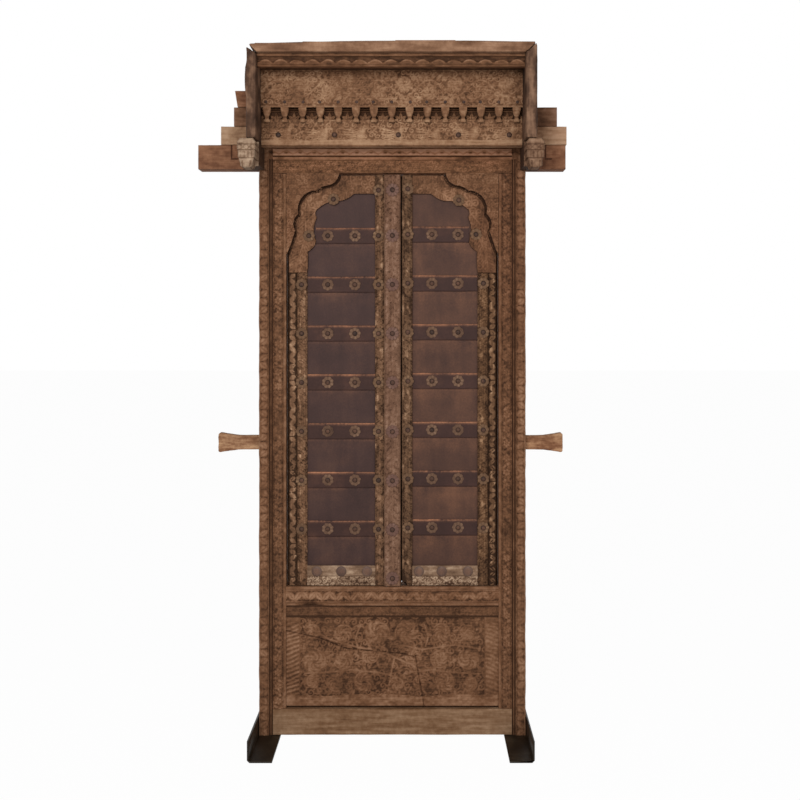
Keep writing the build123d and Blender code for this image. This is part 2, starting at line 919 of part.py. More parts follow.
def make_friezes():
    """Upper and lower carved boards at the back of the hood, the lower one set back behind the pendants."""
    lower_bottom = hood_base - frieze_drop
    pendant_foot = upper_frieze_bottom - pendant_length
    recess_low = pendant_foot + 10
    upper_top = hood_top - hood_top_thickness
    carved_top = upper_top - scallop_height
    upper_back = upper_frieze_front + frieze_thickness
    raised = lower_frieze_front - frieze_step
    with BuildPart() as upper:
        block(-hood_inner, hood_inner, upper_frieze_bottom, upper_top, upper_frieze_front, upper_back)
        vine((upper_frieze_bottom + carved_top) / 2, upper_frieze_front - carving_relief, upper_frieze_front)
    save(upper, "upper_frieze")
    with BuildPart() as lower:
        block(-hood_inner, hood_inner, lower_bottom, upper_frieze_bottom, lower_frieze_front, lower_frieze_back)
        block(-hood_inner, hood_inner, lower_bottom + 6, recess_low, raised, lower_frieze_front)
        pitch = 2 * hood_inner / bird_count
        for index in range(bird_count):
            middle = -hood_inner + (index + 0.62) * pitch
            bird(middle, (lower_bottom + pendant_foot) / 2, raised - carving_relief, raised)
    save(lower, "lower_frieze")


def pendant_places():
    """Middle of each pendant, evenly spread between the side boards."""
    first = hood_inner - pendant_margin - pendant_width / 2
    pitch = 2 * first / (pendant_count - 1)
    return [-first + index * pitch for index in range(pendant_count)]


def make_pendants():
    """Row of carved pegs: square block, round belly, thin neck and a small foot."""
    half = pendant_width / 2
    top = upper_frieze_bottom
    outline = (
        (half, 0),
        (half, -12),
        (half - 2, -26),
        (5, -38),
        (4, -42),
        (8, -47),
        (5, -pendant_length),
    )
    with BuildPart() as piece:
        for middle in pendant_places():
            right = [(middle + x, top + z) for x, z in outline]
            left = [(middle - x, top + z) for x, z in reversed(outline)]
            back = lower_frieze_front - frieze_step
            plate(right + left, back - pendant_depth, back)
        front_edges = piece.edges().filter_by(Axis.Z).group_by(Axis.Y)[0]
        chamfer(front_edges, length=3)
    save(piece, "pendants")


def make_hood_soffit():
    """Hidden board that closes the hood underneath, from the lower frieze back to the beam."""
    with BuildPart() as piece:
        block(-hood_inner, hood_inner, hood_base, hood_base + soffit_thickness, lower_frieze_back,
              tongue_thickness)
    save(piece, "hood_soffit")


def make_hood_nails():
    """Five large forged nails along the foot of the lower frieze."""
    level = hood_base + 26
    places = [(share * hood_inner, level) for share in frieze_nail_shares]
    face = lower_frieze_front - frieze_step - carving_relief
    with BuildPart() as piece:
        heads(places, face, frieze_nail_radius, frieze_nail_height)
    save(piece, "hood_nails")


def bracket_arm(name, side):
    """Cantilever arm with a carved finial in front, notched over the jamb at its back end."""
    inner = hood_inner
    outer = hood_inner + arm_width
    low = hood_base - arm_height
    front = -hood_reach - finial_reach
    neck = front + finial_length
    middle = (inner + outer) / 2
    half = arm_width / 2
    beam_seat = max(half_width, inner)
    with BuildPart() as piece:
        block(side * inner, side * outer, low + 12, hood_base, neck, 0)
        block(side * beam_seat, side * outer, low + 12, hood_base, 0, tongue_thickness)
        with BuildSketch(elevation(neck)):
            with BuildLine():
                right = (
                    (middle + half - 9, hood_base),
                    (middle + half, hood_base - 12),
                    (middle + half, hood_base - 34),
                    (middle + half - 3, hood_base - 36),
                    (middle + half - 3, hood_base - 57),
                    (middle + half - 6, hood_base - 60),
                    (middle + half - 11, low + 6),
                    (middle + half - 15, low),
                )
                left = [(2 * middle - x, z) for x, z in reversed(right)]
                Polyline(*[(side * x, z) for x, z in list(right) + left], close=True)
            make_face()
        extrude(amount=finial_length)
        front_edges = piece.faces().sort_by(Axis.Y)[0].edges()
        chamfer(front_edges, length=4)
    save(piece, name)


for side, hand, lug_reach in ((-1, "left", left_lug_reach), (1, "right", right_lug_reach)):
    jamb(f"{hand}_upright", side)
    foot(f"{hand}_foot", side)
    wall_lug(f"{hand}_wall_lug", side, lug_reach)
    spandrel(f"{hand}_spandrel", side)
    bracket_arm(f"{hand}_bracket_arm", side)

make_foot_screws()
make_lintel_beam()
make_courses()
make_head_rail()
make_sill_rail()
make_bottom_rail()
make_panel()
make_hood_boards()
make_hood_scallops()
make_friezes()
make_pendants()
make_hood_soffit()
make_hood_nails()

leaves = (
    ("left", -1, left_meeting_edge, left_meeting_inner, meeting_line, left_first_strap),
    ("right", 1, right_meeting_edge, right_meeting_inner, meeting_line + meeting_clearance, right_first_strap),
)
for hand, side, edge, inner, lip, first in leaves:
    hanging_stile_piece(f"{hand}_hanging_stile", side)
    meeting_stile_piece(f"{hand}_meeting_stile", side, edge, inner, lip)
    arch_piece(f"{hand}_arch_piece", side, inner)
    leaf_bottom_rail(f"{hand}_leaf_bottom_rail", side, inner)
    back_boards(f"{hand}_back_boards", side, inner)
    iron_sheet(f"{hand}_iron_sheet", side, inner)
    straps(hand, side, inner, first)
    leaf_rosettes(f"{hand}_rosettes", side, inner, first)
make_batten()
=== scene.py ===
# %% [markdown]
# # A carved window frame from a courtyard house
#
# The window is old hardwood: two carved jambs, a head and a sill, a box hood with a row of
# pendants, a long lintel beam, and two leaves clad in iron sheet. Everything here is worn. This
# lesson dresses the measured model: each timber is rebuilt as a fine mesh with its carving in
# the surface, and each metal part is modelled once and copied.

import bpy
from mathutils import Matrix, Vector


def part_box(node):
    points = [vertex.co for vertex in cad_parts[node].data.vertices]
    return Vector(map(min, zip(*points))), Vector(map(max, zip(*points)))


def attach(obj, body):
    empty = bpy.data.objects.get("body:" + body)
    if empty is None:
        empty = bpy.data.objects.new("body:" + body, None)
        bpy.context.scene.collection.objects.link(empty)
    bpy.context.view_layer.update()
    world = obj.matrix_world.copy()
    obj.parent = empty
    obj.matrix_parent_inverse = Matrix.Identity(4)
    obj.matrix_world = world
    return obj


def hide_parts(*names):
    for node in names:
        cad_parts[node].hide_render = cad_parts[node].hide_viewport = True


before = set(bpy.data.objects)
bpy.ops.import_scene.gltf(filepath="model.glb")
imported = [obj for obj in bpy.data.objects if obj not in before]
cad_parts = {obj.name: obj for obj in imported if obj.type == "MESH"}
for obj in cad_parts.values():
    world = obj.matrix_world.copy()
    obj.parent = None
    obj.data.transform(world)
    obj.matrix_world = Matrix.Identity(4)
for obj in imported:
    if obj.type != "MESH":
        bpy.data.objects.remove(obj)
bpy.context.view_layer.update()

# %% Tools used all the way through
import itertools
import math

import bpy
import numpy as np
from mathutils import Vector


def select_only(*pieces):
    """Selects the given objects alone and makes the first one active."""
    bpy.ops.object.select_all(action="DESELECT")
    for piece in pieces:
        piece.select_set(True)
    bpy.context.view_layer.objects.active = pieces[0]


print("Blender", bpy.app.version_string)

# %% [markdown]
# ## Where things are
#
# Carving is easiest to think about in millimetres from the middle of the window, so two small
# helpers turn a node's corners into such places. The middle is the middle of the head rail.

# %% Places in millimetres
MM = 0.001
head_low, head_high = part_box("head_rail")
middle_x = (head_low.x + head_high.x) / 2


def reach(node):
    """Lowest and highest corner of a node in millimetres, across measured from the middle."""
    low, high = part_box(node)
    return [((c.x - middle_x) / MM, c.y / MM, c.z / MM) for c in (low, high)]


def lowest_beyond(node, across):
    """Lowest level of a node farther from the middle than a distance, in millimetres."""
    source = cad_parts[node]
    places = [source.matrix_world @ vertex.co for vertex in source.data.vertices]
    return min(p.z for p in places if abs(p.x - middle_x) / MM > across) / MM


print("middle", round(middle_x, 4), "jamb", reach("left_upright"))

# %% [markdown]
# ## Camera
#
# The photograph has upright verticals, so the camera looks level along +Y from four metres and
# the picture is shifted a little instead of tilted. The lens was found by fitting corners of
# the model to the photograph.

# %% Camera
camera_data = bpy.data.cameras.new("camera")
camera_data.lens = 60
camera_data.sensor_width = 36
camera_data.shift_x = -0.0204
camera_data.shift_y = -0.098
camera = bpy.data.objects.new("camera", camera_data)
camera.location = (middle_x + 0.072, -4.003, 1.248)
camera.rotation_euler = (math.radians(90), 0, 0)
bpy.context.scene.collection.objects.link(camera)
bpy.context.scene.camera = camera
print("camera at", tuple(round(c, 3) for c in camera.location))

# %% [markdown]
# ## Light and floor
#
# A large soft lamp above and in front shows the carving by its own small shadows, a weaker one
# fills from the other side, and the world gives an even level. The background is white by
# colour: camera, glossy and transmission rays see white, other rays see the plain soft level.

# %% Lamps


def soft_lamp(name, place, target, size, power):
    """Square area lamp turned towards a point."""
    data = bpy.data.lights.new(name, "AREA")
    data.size = size
    data.energy = power
    lamp = bpy.data.objects.new(name, data)
    lamp.location = place
    lamp.rotation_euler = (Vector(target) - Vector(place)).to_track_quat("-Z", "Y").to_euler()
    bpy.context.scene.collection.objects.link(lamp)
    return lamp


window_middle = (middle_x, 0, 1.1)
key = soft_lamp("key_lamp", (-0.8, -3.9, 2.4), window_middle, 1.3, 90)
fill = soft_lamp("fill_lamp", (1.6, -3.8, 1.6), window_middle, 2.0, 40)
print("lamps", key.name, fill.name)

# %% World
bpy.context.scene.view_settings.view_transform = "Standard"
world = bpy.data.worlds.new("studio")
bpy.context.scene.world = world
world.use_nodes = True


def seen_directly(tree):
    """1 for camera, glossy and transmission rays, 0 for the rays that light things."""
    path = tree.nodes.new("ShaderNodeLightPath")
    first = tree.nodes.new("ShaderNodeMath")
    first.operation = "MAXIMUM"
    both = tree.nodes.new("ShaderNodeMath")
    both.operation = "MAXIMUM"
    tree.links.new(path.outputs["Is Camera Ray"], first.inputs[0])
    tree.links.new(path.outputs["Is Glossy Ray"], first.inputs[1])
    tree.links.new(first.outputs[0], both.inputs[0])
    tree.links.new(path.outputs["Is Transmission Ray"], both.inputs[1])
    return both.outputs[0]


def white_backdrop(tree):
    """World shader: white where it is seen, a plain soft level where it gives light."""
    tree.nodes.clear()
    soft = tree.nodes.new("ShaderNodeBackground")
    soft.inputs["Color"].default_value = (1, 1, 1, 1)
    soft.inputs["Strength"].default_value = 0.36
    white = tree.nodes.new("ShaderNodeBackground")
    white.inputs["Color"].default_value = (1, 1, 1, 1)
    white.inputs["Strength"].default_value = 1
    mix = tree.nodes.new("ShaderNodeMixShader")
    out = tree.nodes.new("ShaderNodeOutputWorld")
    tree.links.new(seen_directly(tree), mix.inputs[0])
    tree.links.new(soft.outputs[0], mix.inputs[1])
    tree.links.new(white.outputs[0], mix.inputs[2])
    tree.links.new(mix.outputs[0], out.inputs[0])


white_backdrop(world.node_tree)
print("world", world.name)

# %% Floor
bpy.ops.object.select_all(action="DESELECT")
bpy.ops.mesh.primitive_plane_add(size=60, location=(0, 0, 0))
floor = bpy.context.object
floor.name = "floor"
pale = bpy.data.materials.new("pale_floor")
pale.use_nodes = True


def pale_floor(tree):
    """Diffuse floor that keeps a faint shadow and is nearly white where it is seen."""
    tree.nodes.clear()
    matt = tree.nodes.new("ShaderNodeBsdfDiffuse")
    matt.inputs["Color"].default_value = (0.86, 0.86, 0.86, 1)
    white = tree.nodes.new("ShaderNodeEmission")
    white.inputs["Strength"].default_value = 1
    share = tree.nodes.new("ShaderNodeMath")
    share.operation = "MULTIPLY"
    share.inputs[1].default_value = 0.97
    mix = tree.nodes.new("ShaderNodeMixShader")
    out = tree.nodes.new("ShaderNodeOutputMaterial")
    tree.links.new(seen_directly(tree), share.inputs[0])
    tree.links.new(share.outputs[0], mix.inputs[0])
    tree.links.new(matt.outputs[0], mix.inputs[1])
    tree.links.new(white.outputs[0], mix.inputs[2])
    tree.links.new(mix.outputs[0], out.inputs[0])


pale_floor(pale.node_tree)
floor.data.materials.append(pale)
print("floor", floor.name)

# %% [markdown]
# ## Weathered wood
#
# Old carved wood has no single colour. Dust and sun leave the high places tan, smoke and oil
# stay in the cuts, and the grain runs along the length of each piece. The material reads a
# point attribute called relief, which the carving cells write: 0 in the deepest cut, 1 on a
# crest. Noise stretched along the grain gives the fibres, and a bump gives their fine relief.

# %% Small helpers for node trees


def node(tree, kind, **values):
    """New node with its properties and its own sockets set."""
    made = tree.nodes.new(kind)
    for key_name, value in values.items():
        if key_name in made.inputs:
            made.inputs[key_name].default_value = value
        else:
            setattr(made, key_name, value)
    return made


def noise_node(tree, source, scale, stretch, detail, rough=0.6):
    """Noise over object coordinates, drawn out along the grain by the stretch."""
    mapping = node(tree, "ShaderNodeMapping")
    mapping.inputs["Scale"].default_value = stretch
    noise = node(tree, "ShaderNodeTexNoise", Scale=scale, Detail=detail, Roughness=rough)
    tree.links.new(source, mapping.inputs["Vector"])
    tree.links.new(mapping.outputs[0], noise.inputs["Vector"])
    return noise.outputs["Fac"]


def weighted(tree, parts):
    """Sum of sockets, each times its weight."""
    total = None
    for socket, weight in parts:
        step = node(tree, "ShaderNodeMath", operation="MULTIPLY_ADD")
        tree.links.new(socket, step.inputs[0])
        step.inputs[1].default_value = weight
        step.inputs[2].default_value = 0
        if total is not None:
            tree.links.new(total, step.inputs[2])
        total = step.outputs[0]
    return total


def ramp(tree, factor, stops):
    """Colour ramp from (place, colour) stops, with colours as 0 to 255 screen values."""
    made = node(tree, "ShaderNodeValToRGB")
    bar = made.color_ramp
    while len(bar.elements) < len(stops):
        bar.elements.new(0.5)
    for element, (place, colour) in zip(bar.elements, stops):
        element.position = place
        element.color = (*screen(colour), 1)
    tree.links.new(factor, made.inputs[0])
    return made.outputs["Color"]


def screen(colour):
    """Screen colour of 0 to 255 as the linear values that shaders use."""
    return [(c / 255 / 12.92) if c < 11 else ((c / 255 + 0.055) / 1.055) ** 2.4 for c in colour]


print("helpers ready")

# %% Wood


def wood(name, dark, middle, light, tint, tint_share=0.35, grain="Z", carved=True, rough=0.8):
    """Weathered wood: four screen colours, the axis of its grain, and whether it reads relief."""
    material = bpy.data.materials.new(name)
    material.use_nodes = True
    tree = material.node_tree
    shader = tree.nodes["Principled BSDF"]
    coords = node(tree, "ShaderNodeTexCoord").outputs["Object"]
    stretch = {"X": (0.06, 1, 1), "Y": (1, 0.06, 1), "Z": (1, 1, 0.06)}[grain]
    fibre = noise_node(tree, coords, 260, stretch, 5, 0.65)
    speck = noise_node(tree, coords, 75, (1, 1, 1), 4, 0.7)
    cloud_field = noise_node(tree, coords, 9, (1, 1, 1), 3)
    parts = [(fibre, 0.34), (speck, 0.42), (cloud_field, 0.28)]
    if carved:
        height = node(tree, "ShaderNodeAttribute", attribute_name="relief")
        parts.append((height.outputs["Fac"], 0.8))
        lift = -0.42
    else:
        lift = -0.02
    level = node(tree, "ShaderNodeMath", operation="ADD")
    tree.links.new(weighted(tree, parts), level.inputs[0])
    level.inputs[1].default_value = lift
    shades = [(0.22, dark), (0.46, middle), (0.66, light), (0.9, paler(light))]
    colour = ramp(tree, level.outputs[0], shades)
    patches = noise_node(tree, coords, 5.5, stretch, 3)
    patch = ramp(tree, patches, [(0.46, (0, 0, 0)), (0.7, (255, 255, 255))])
    mix = node(tree, "ShaderNodeMix", data_type="RGBA", blend_type="MIX")
    share = node(tree, "ShaderNodeMath", operation="MULTIPLY")
    tree.links.new(patch, share.inputs[0])
    share.inputs[1].default_value = tint_share
    tree.links.new(share.outputs[0], mix.inputs["Factor"])
    tree.links.new(colour, mix.inputs["A"])
    tinted = node(tree, "ShaderNodeMix", data_type="RGBA", blend_type="MULTIPLY")
    tinted.inputs["Factor"].default_value = 1
    tree.links.new(colour, tinted.inputs["A"])
    tinted.inputs["B"].default_value = (*screen(tint), 1)
    tree.links.new(tinted.outputs["Result"], mix.inputs["B"])
    tree.links.new(mix.outputs["Result"], shader.inputs["Base Color"])
    bump = node(tree, "ShaderNodeBump", Strength=0.55, Distance=0.0012)
    tree.links.new(weighted(tree, [(fibre, 0.7), (speck, 0.5)]), bump.inputs["Height"])
    tree.links.new(bump.outputs[0], shader.inputs["Normal"])
    shader.inputs["Roughness"].default_value = rough
    shader.inputs["Specular IOR Level"].default_value = 0.15
    return material


def paler(colour):
    """The dusty crest colour a little above a light wood colour."""
    return tuple(min(255, c + 26) for c in colour)


carved_brown = dict(dark=(58, 36, 21), middle=(112, 77, 53), light=(146, 110, 84), tint=(205, 170, 150))
carved_upright = wood("carved_wood_upright", **carved_brown, grain="Z")
carved_across = wood("carved_wood_across", **carved_brown, grain="X")
reddish = (215, 160, 130)
carved_red = wood("head_rail_wood", (56, 33, 18), (112, 76, 51), (152, 108, 80),
                  (225, 175, 140), grain="X")
plain_red = wood("bottom_rail_wood", (76, 49, 31), (114, 83, 58), (142, 112, 86),
                 (215, 175, 140), 0.4, "X")
frieze_wood = wood("frieze_wood", (62, 39, 23), (121, 86, 61), (160, 126, 97),
                   (210, 170, 145), grain="X")
top_wood = wood("hood_top_wood", (82, 55, 38), (116, 83, 61), (146, 111, 86), (215, 165, 145), 0.4, "X")
hood_wood = wood("hood_side_wood", (46, 31, 22), (80, 57, 43), (124, 94, 73), (190, 165, 155), 0.5, "Z")
beam_wood = wood("beam_wood", (66, 40, 26), (108, 71, 50), (136, 95, 69), reddish, 0.3, "X")
beam_tan = wood("beam_tan_wood", (82, 54, 36), (120, 87, 64), (154, 121, 93), reddish, 0.3, "X")
beam_dark = wood("beam_dark_wood", (48, 30, 20), (84, 56, 38), (116, 82, 60), reddish, 0.3, "X")
lug_wood = wood("lug_wood", (80, 48, 31), (126, 88, 62), (172, 134, 101), reddish, 0.4, "X")
finial_pale = wood("finial_pale_wood", (66, 45, 31), (120, 95, 75), (164, 139, 116),
                   (215, 190, 165), 0.4, "Z")
finial_brown = wood("finial_brown_wood", (58, 38, 26), (98, 71, 53), (134, 105, 83),
                    (215, 190, 165), 0.4, "Z")
leaf_wood = wood("leaf_wood", (52, 33, 19), (116, 84, 61), (164, 130, 102), (205, 185, 150), 0.5, "Z")
shaded_leaf_wood = wood("shaded_leaf_wood", (48, 30, 17), (108, 79, 57), (158, 125, 98),
                        (205, 185, 150), 0.5, "Z")
arch_wood = wood("arch_wood", (54, 33, 19), (110, 76, 53), (150, 112, 85), (205, 170, 145), 0.3, "Z")
pale_rail_wood = wood("leaf_rail_wood", (64, 43, 29), (124, 97, 76), (176, 149, 124),
                      (205, 180, 160), 0.3, "X")
batten_wood = wood("batten_wood", (72, 48, 34), (114, 83, 64), (146, 115, 95),
                   (205, 175, 165), 0.5, "Z")
board_wood = wood("back_board_wood", (70, 46, 31), (112, 80, 58), (142, 108, 82),
                  reddish, 0.3, "Z", carved=False)
print("woods", sum(m.name.endswith("wood") for m in bpy.data.materials))

# %% [markdown]
# ## Iron and steel
#
# The sheet iron is thin and old: a satin purple brown with rust in washes and blotches, and a
# lighter rust-coloured band just under each strap. The upper edge of each strap carries a painted
# highlight in a pale rust colour. The same relief attribute says how much of that colour there is.
# The petalled washers have gone khaki, the nails are nearly black, and the two feet are newer bent
# steel with a black finish.

# %% Metal


def metal(name, dark, middle, light, rust_and_highlight_colour, rough=0.5, metallic=0.25, scale=30, reads_relief=True):
    """Old iron: three screen colours in clouds and specks, with a fourth colour where relief is high,
    which is rust on most parts and a painted highlight on the straps.
    """
    material = bpy.data.materials.new(name)
    material.use_nodes = True
    tree = material.node_tree
    shader = tree.nodes["Principled BSDF"]
    coords = node(tree, "ShaderNodeTexCoord").outputs["Object"]
    cloud_field = noise_node(tree, coords, scale * 0.4, (1, 1, 1), 4)
    speck = noise_node(tree, coords, scale * 6, (1, 1, 1), 4, 0.7)
    streak = noise_node(tree, coords, scale, (1, 1, 0.12), 3)
    level = weighted(tree, [(cloud_field, 0.45), (speck, 0.3), (streak, 0.25)])
    colour = ramp(tree, level, [(0.32, dark), (0.5, middle), (0.68, light)])
    mix = node(tree, "ShaderNodeMix", data_type="RGBA", blend_type="MIX")
    share = ramp(tree, level, [(0.4, (40, 40, 40)), (0.62, (255, 255, 255))])
    if reads_relief:
        amount = node(tree, "ShaderNodeAttribute", attribute_name="relief").outputs["Fac"]
        weight = node(tree, "ShaderNodeMath", operation="MULTIPLY")
        tree.links.new(share, weight.inputs[0])
        tree.links.new(amount, weight.inputs[1])
        tree.links.new(weight.outputs[0], mix.inputs["Factor"])
    else:
        mix.inputs["Factor"].default_value = 0
    tree.links.new(colour, mix.inputs["A"])
    mix.inputs["B"].default_value = (*screen(rust_and_highlight_colour), 1)
    tree.links.new(mix.outputs["Result"], shader.inputs["Base Color"])
    bump = node(tree, "ShaderNodeBump", Strength=0.35, Distance=0.0006)
    tree.links.new(speck, bump.inputs["Height"])
    tree.links.new(bump.outputs[0], shader.inputs["Normal"])
    shader.inputs["Roughness"].default_value = rough
    shader.inputs["Metallic"].default_value = metallic
    shader.inputs["Specular IOR Level"].default_value = 0.2
    return material


rust_and_highlight_colour = (116, 78, 56)
sheet_iron = metal("sheet_iron", (50, 34, 31), (60, 41, 37), (74, 52, 44), rust_and_highlight_colour, 0.6)
warm_iron = metal("warm_sheet_iron", (56, 37, 31), (72, 48, 38), (92, 62, 47), rust_and_highlight_colour, 0.6)
strap_iron = metal("strap_iron", (44, 27, 23), (54, 34, 29), (68, 44, 37), (168, 114, 82), 0.6)
washer_iron = metal("washer_iron", (62, 43, 33), (102, 76, 59), (142, 112, 90),
                    (70, 47, 36), 0.8, 0, 60)
stile_washer_iron = metal("stile_washer_iron", (68, 47, 33), (108, 80, 58), (150, 118, 90),
                          (56, 38, 27), 0.8, 0, 60)
purple_iron = metal("batten_washer_iron", (76, 52, 44), (106, 76, 64), (134, 104, 90),
                    (66, 45, 38), 0.7, 0, 60)
nail_iron = metal("nail_iron", (28, 18, 13), (46, 31, 25), (74, 54, 45), rust_and_highlight_colour, 0.6, 0, 80)
flat_nail_iron = metal("flat_nail_iron", (60, 44, 37), (86, 65, 55), (112, 90, 76), rust_and_highlight_colour, 0.5, 0.1, 60)
black_steel = metal("black_steel", (14, 10, 6), (33, 25, 16), (62, 53, 42),
                    rust_and_highlight_colour, 0.42, 0.2, 22, reads_relief=False)
print("metals", sheet_iron.name, black_steel.name)

# %% [markdown]
# ## Timbers as swept grids
#
# A timber could be the plain solid with a bump texture, but then its edges stay knife sharp and
# the carving has no depth. Instead the grid operator adds a flat grid. One direction of it runs
# round the timber's section and the other along its length, so that every point of the surface
# can be moved for carving and wear. Merging the doubles closes the tube and filling the holes
# closes its ends.

# %% Grid to timber


def fine_row(corners, step):
    """Closed row of (across, depth) corners with points added so that none are over step apart."""
    row = []
    for start, end in zip(corners, corners[1:] + corners[:1]):
        length = math.dist(start, end)
        parts = max(1, math.ceil(length / step))
        for part in range(parts):
            share = part / parts
            row.append((start[0] + (end[0] - start[0]) * share, start[1] + (end[1] - start[1]) * share))
    return np.array(row + row[:1])


def stations(start, end, step):
    """Evenly spread places along a timber."""
    return np.linspace(start, end, max(2, round(abs(end - start) / step)) + 1)


def swept_grid(name, places, relief):
    """Closed mesh from rows of points in millimetres (rows, columns, 3), first column = last."""
    rows, columns = places.shape[:2]
    bpy.ops.object.select_all(action="DESELECT")
    bpy.ops.mesh.primitive_grid_add(x_subdivisions=columns - 1, y_subdivisions=rows - 1, size=1)
    piece = bpy.context.object
    piece.name = piece.data.name = name
    metres = places.reshape(-1, 3) * MM + (middle_x, 0, 0)
    piece.data.vertices.foreach_set("co", metres.ravel())
    write_relief(piece, relief.ravel())
    close_tube(piece)
    return piece


def write_relief(piece, values):
    """Stores the height of the carving at every point, 0 deepest and 1 highest."""
    layer = piece.data.attributes.new("relief", "FLOAT", "POINT")
    layer.data.foreach_set("value", np.clip(values, 0, 1).astype(np.float32))


def close_tube(piece):
    """Merges the seam, fills the ends and turns the faces outwards."""
    bpy.ops.object.mode_set(mode="EDIT")
    bpy.ops.mesh.select_all(action="SELECT")
    bpy.ops.mesh.remove_doubles(threshold=1e-6)
    bpy.ops.mesh.fill_holes(sides=0)
    bpy.ops.mesh.select_all(action="SELECT")
    bpy.ops.mesh.normals_make_consistent(inside=False)
    bpy.ops.object.mode_set(mode="OBJECT")


print("timber tools ready")

# %% [markdown]
# ## Random wear that comes out the same each time
#
# Wear, chips and hand-cut unevenness need smooth random values. A small table of seeded random
# numbers, blended between its cells, gives them for whole arrays of points at once.

# %% Smooth random values


def cloudy(x, y, z, size, seed):
    """Smooth values from -1 to 1 that change over a size in millimetres, one or three numbers."""
    table = np.random.default_rng(seed).uniform(-1, 1, (16, 16, 16))
    place = np.stack(np.broadcast_arrays(x, y, z), axis=-1) / np.asarray(size) + 1000.37
    cell = np.floor(place).astype(int)
    part = place - cell
    part = part * part * (3 - 2 * part)
    value = 0
    for corner in itertools.product((0, 1), repeat=3):
        weight = np.prod(np.where(corner, part, 1 - part), axis=-1)
        i, j, k = np.moveaxis((cell + corner) % 16, -1, 0)
        value = value + weight * table[i, j, k]
    return value


def worn(x, y, z, size, seed):
    """Cloudy values with a finer layer on top."""
    return 0.7 * cloudy(x, y, z, size, seed) + 0.3 * cloudy(x, y, z, np.asarray(size) / 2.7, seed + 1)


print("sample", np.round(cloudy(np.arange(3) * 5.0, 0, 0, 12, 1), 3))

# %% [markdown]
# ## Carver's strokes
#
# Each ornament is a sum of a few strokes: a rounded stem along a line, a scroll that winds in, a
# leaf with a midrib, a flower with grooved petals and a whirl of curved leaves. Each stroke
# gives the height at every point of the board, from 0 on the ground to 1 on its crest, and the
# carving takes the highest of them.

# %% Strokes


def ridge(distance, half):
    """Rounded ridge: 1 where the distance is 0, down to 0 at half its width."""
    return np.sqrt(np.clip(1 - (distance / half) ** 2, 0, 1))


def stem(x, z, points, half):
    """Rounded stem along a row of points."""
    height = np.zeros_like(x)
    for (x0, z0), (x1, z1) in zip(points, points[1:]):
        dx, dz = x1 - x0, z1 - z0
        share = np.clip(((x - x0) * dx + (z - z0) * dz) / (dx * dx + dz * dz), 0, 1)
        height = np.maximum(height, ridge(np.hypot(x - x0 - share * dx, z - z0 - share * dz), half))
    return height


def scroll(x, z, place, radius, turns, half, start=0, hand=1):
    """Stem that winds inwards from an angle, given in degrees, to the middle."""
    dx, dz = x - place[0], z - place[1]
    far = np.hypot(dx, dz)
    angle = (hand * (np.arctan2(dz, dx) - math.radians(start))) % (2 * math.pi)
    height = np.zeros_like(x)
    for lap in range(math.ceil(turns) + 1):
        wound = (angle + 2 * math.pi * lap) / (2 * math.pi * turns)
        line = radius * (1 - 0.86 * wound)
        height = np.maximum(height, np.where(wound <= 1.02, ridge(far - line, half), 0))
    return height


def leaf(x, z, place, angle, length, width):
    """Pointed leaf from its root, with a groove for its midrib; the angle is in degrees."""
    c, s = math.cos(math.radians(angle)), math.sin(math.radians(angle))
    dx, dz = x - place[0], z - place[1]
    along = (dx * c + dz * s) / length
    aside = (dz * c - dx * s) / (width / 2)
    shape = np.clip(np.sin(math.pi * np.clip(along, 0, 1) ** 0.8), 1e-3, 1)
    body = np.where((along > 0) & (along < 1), ridge(aside, shape), 0)
    return body * (1 - 0.45 * np.exp(-((aside / 0.16) ** 2)))


def flower(x, z, place, radius, petals, turn=0):
    """Round flower with grooved petals and a dished eye."""
    dx, dz = x - place[0], z - place[1]
    far = np.hypot(dx, dz)
    wave = np.abs(np.cos(petals / 2 * (np.arctan2(dz, dx) - math.radians(turn))))
    edge = radius * (0.7 + 0.3 * wave)
    body = np.clip(1 - (far / edge) ** 4, 0, 1) * (0.4 + 0.6 * np.sqrt(wave))
    eye = np.exp(-((far / (0.2 * radius)) ** 2))
    return np.maximum(body * (1 - np.exp(-((far / (0.34 * radius)) ** 2))), 0.8 * eye)


def whirl(x, z, place, radius, petals, twist, turn=0):
    """Disc of curved leaves that wind outwards, as in a round acanthus flower."""
    dx, dz = x - place[0], z - place[1]
    far = np.hypot(dx, dz) / radius
    wave = np.abs(np.cos(petals / 2 * (np.arctan2(dz, dx) - math.radians(turn) + twist * far)))
    return np.sqrt(wave) * np.clip((1.05 - far) * 5, 0, 1) * np.clip(far * 4, 0.3, 1)


print("strokes ready")

# %% [markdown]
# ## Rows that repeat
#
# The narrow bands on the jambs and stiles repeat one motif over and over, so they are worked
# out with the remainder of the place by the pitch instead of one stroke at a time.

# %% Repeating bands


def slanted_leaves(along, across, pitch, width):
    """Row of leaves that lean one way and then the other, like a cut rope."""
    index = np.floor(along / pitch)
    place = along - (index + 0.5) * pitch
    side = np.where(index % 2 == 0, 1, -1)
    lean = math.radians(38)
    a = (across * math.cos(lean) + side * place * math.sin(lean)) / (width * 0.62)
    b = (side * across * -math.sin(lean) + place * math.cos(lean)) / (pitch * 0.5)
    body = ridge(b, np.clip(1 - a * a, 1e-3, 1))
    return np.where(np.abs(a) < 1, body * (1 - 0.4 * np.exp(-((b / 0.2) ** 2))), 0)


def flower_row(along, across, pitch, radius, petals):
    """Row of round flowers with a small leaf pair between them."""
    place = along % pitch - pitch / 2
    blooms = flower(across, place, (0, 0), radius, petals, 22)
    between = (along + pitch / 2) % pitch - pitch / 2
    pair = np.maximum(
        leaf(across, between, (0, 0), 35, radius * 1.1, radius * 0.7),
        leaf(across, between, (0, 0), 215, radius * 1.1, radius * 0.7),
    )
    return np.maximum(blooms, 0.85 * pair)


rail_top = reach("head_rail")[1][2]
zigzag_pitch = 42.6


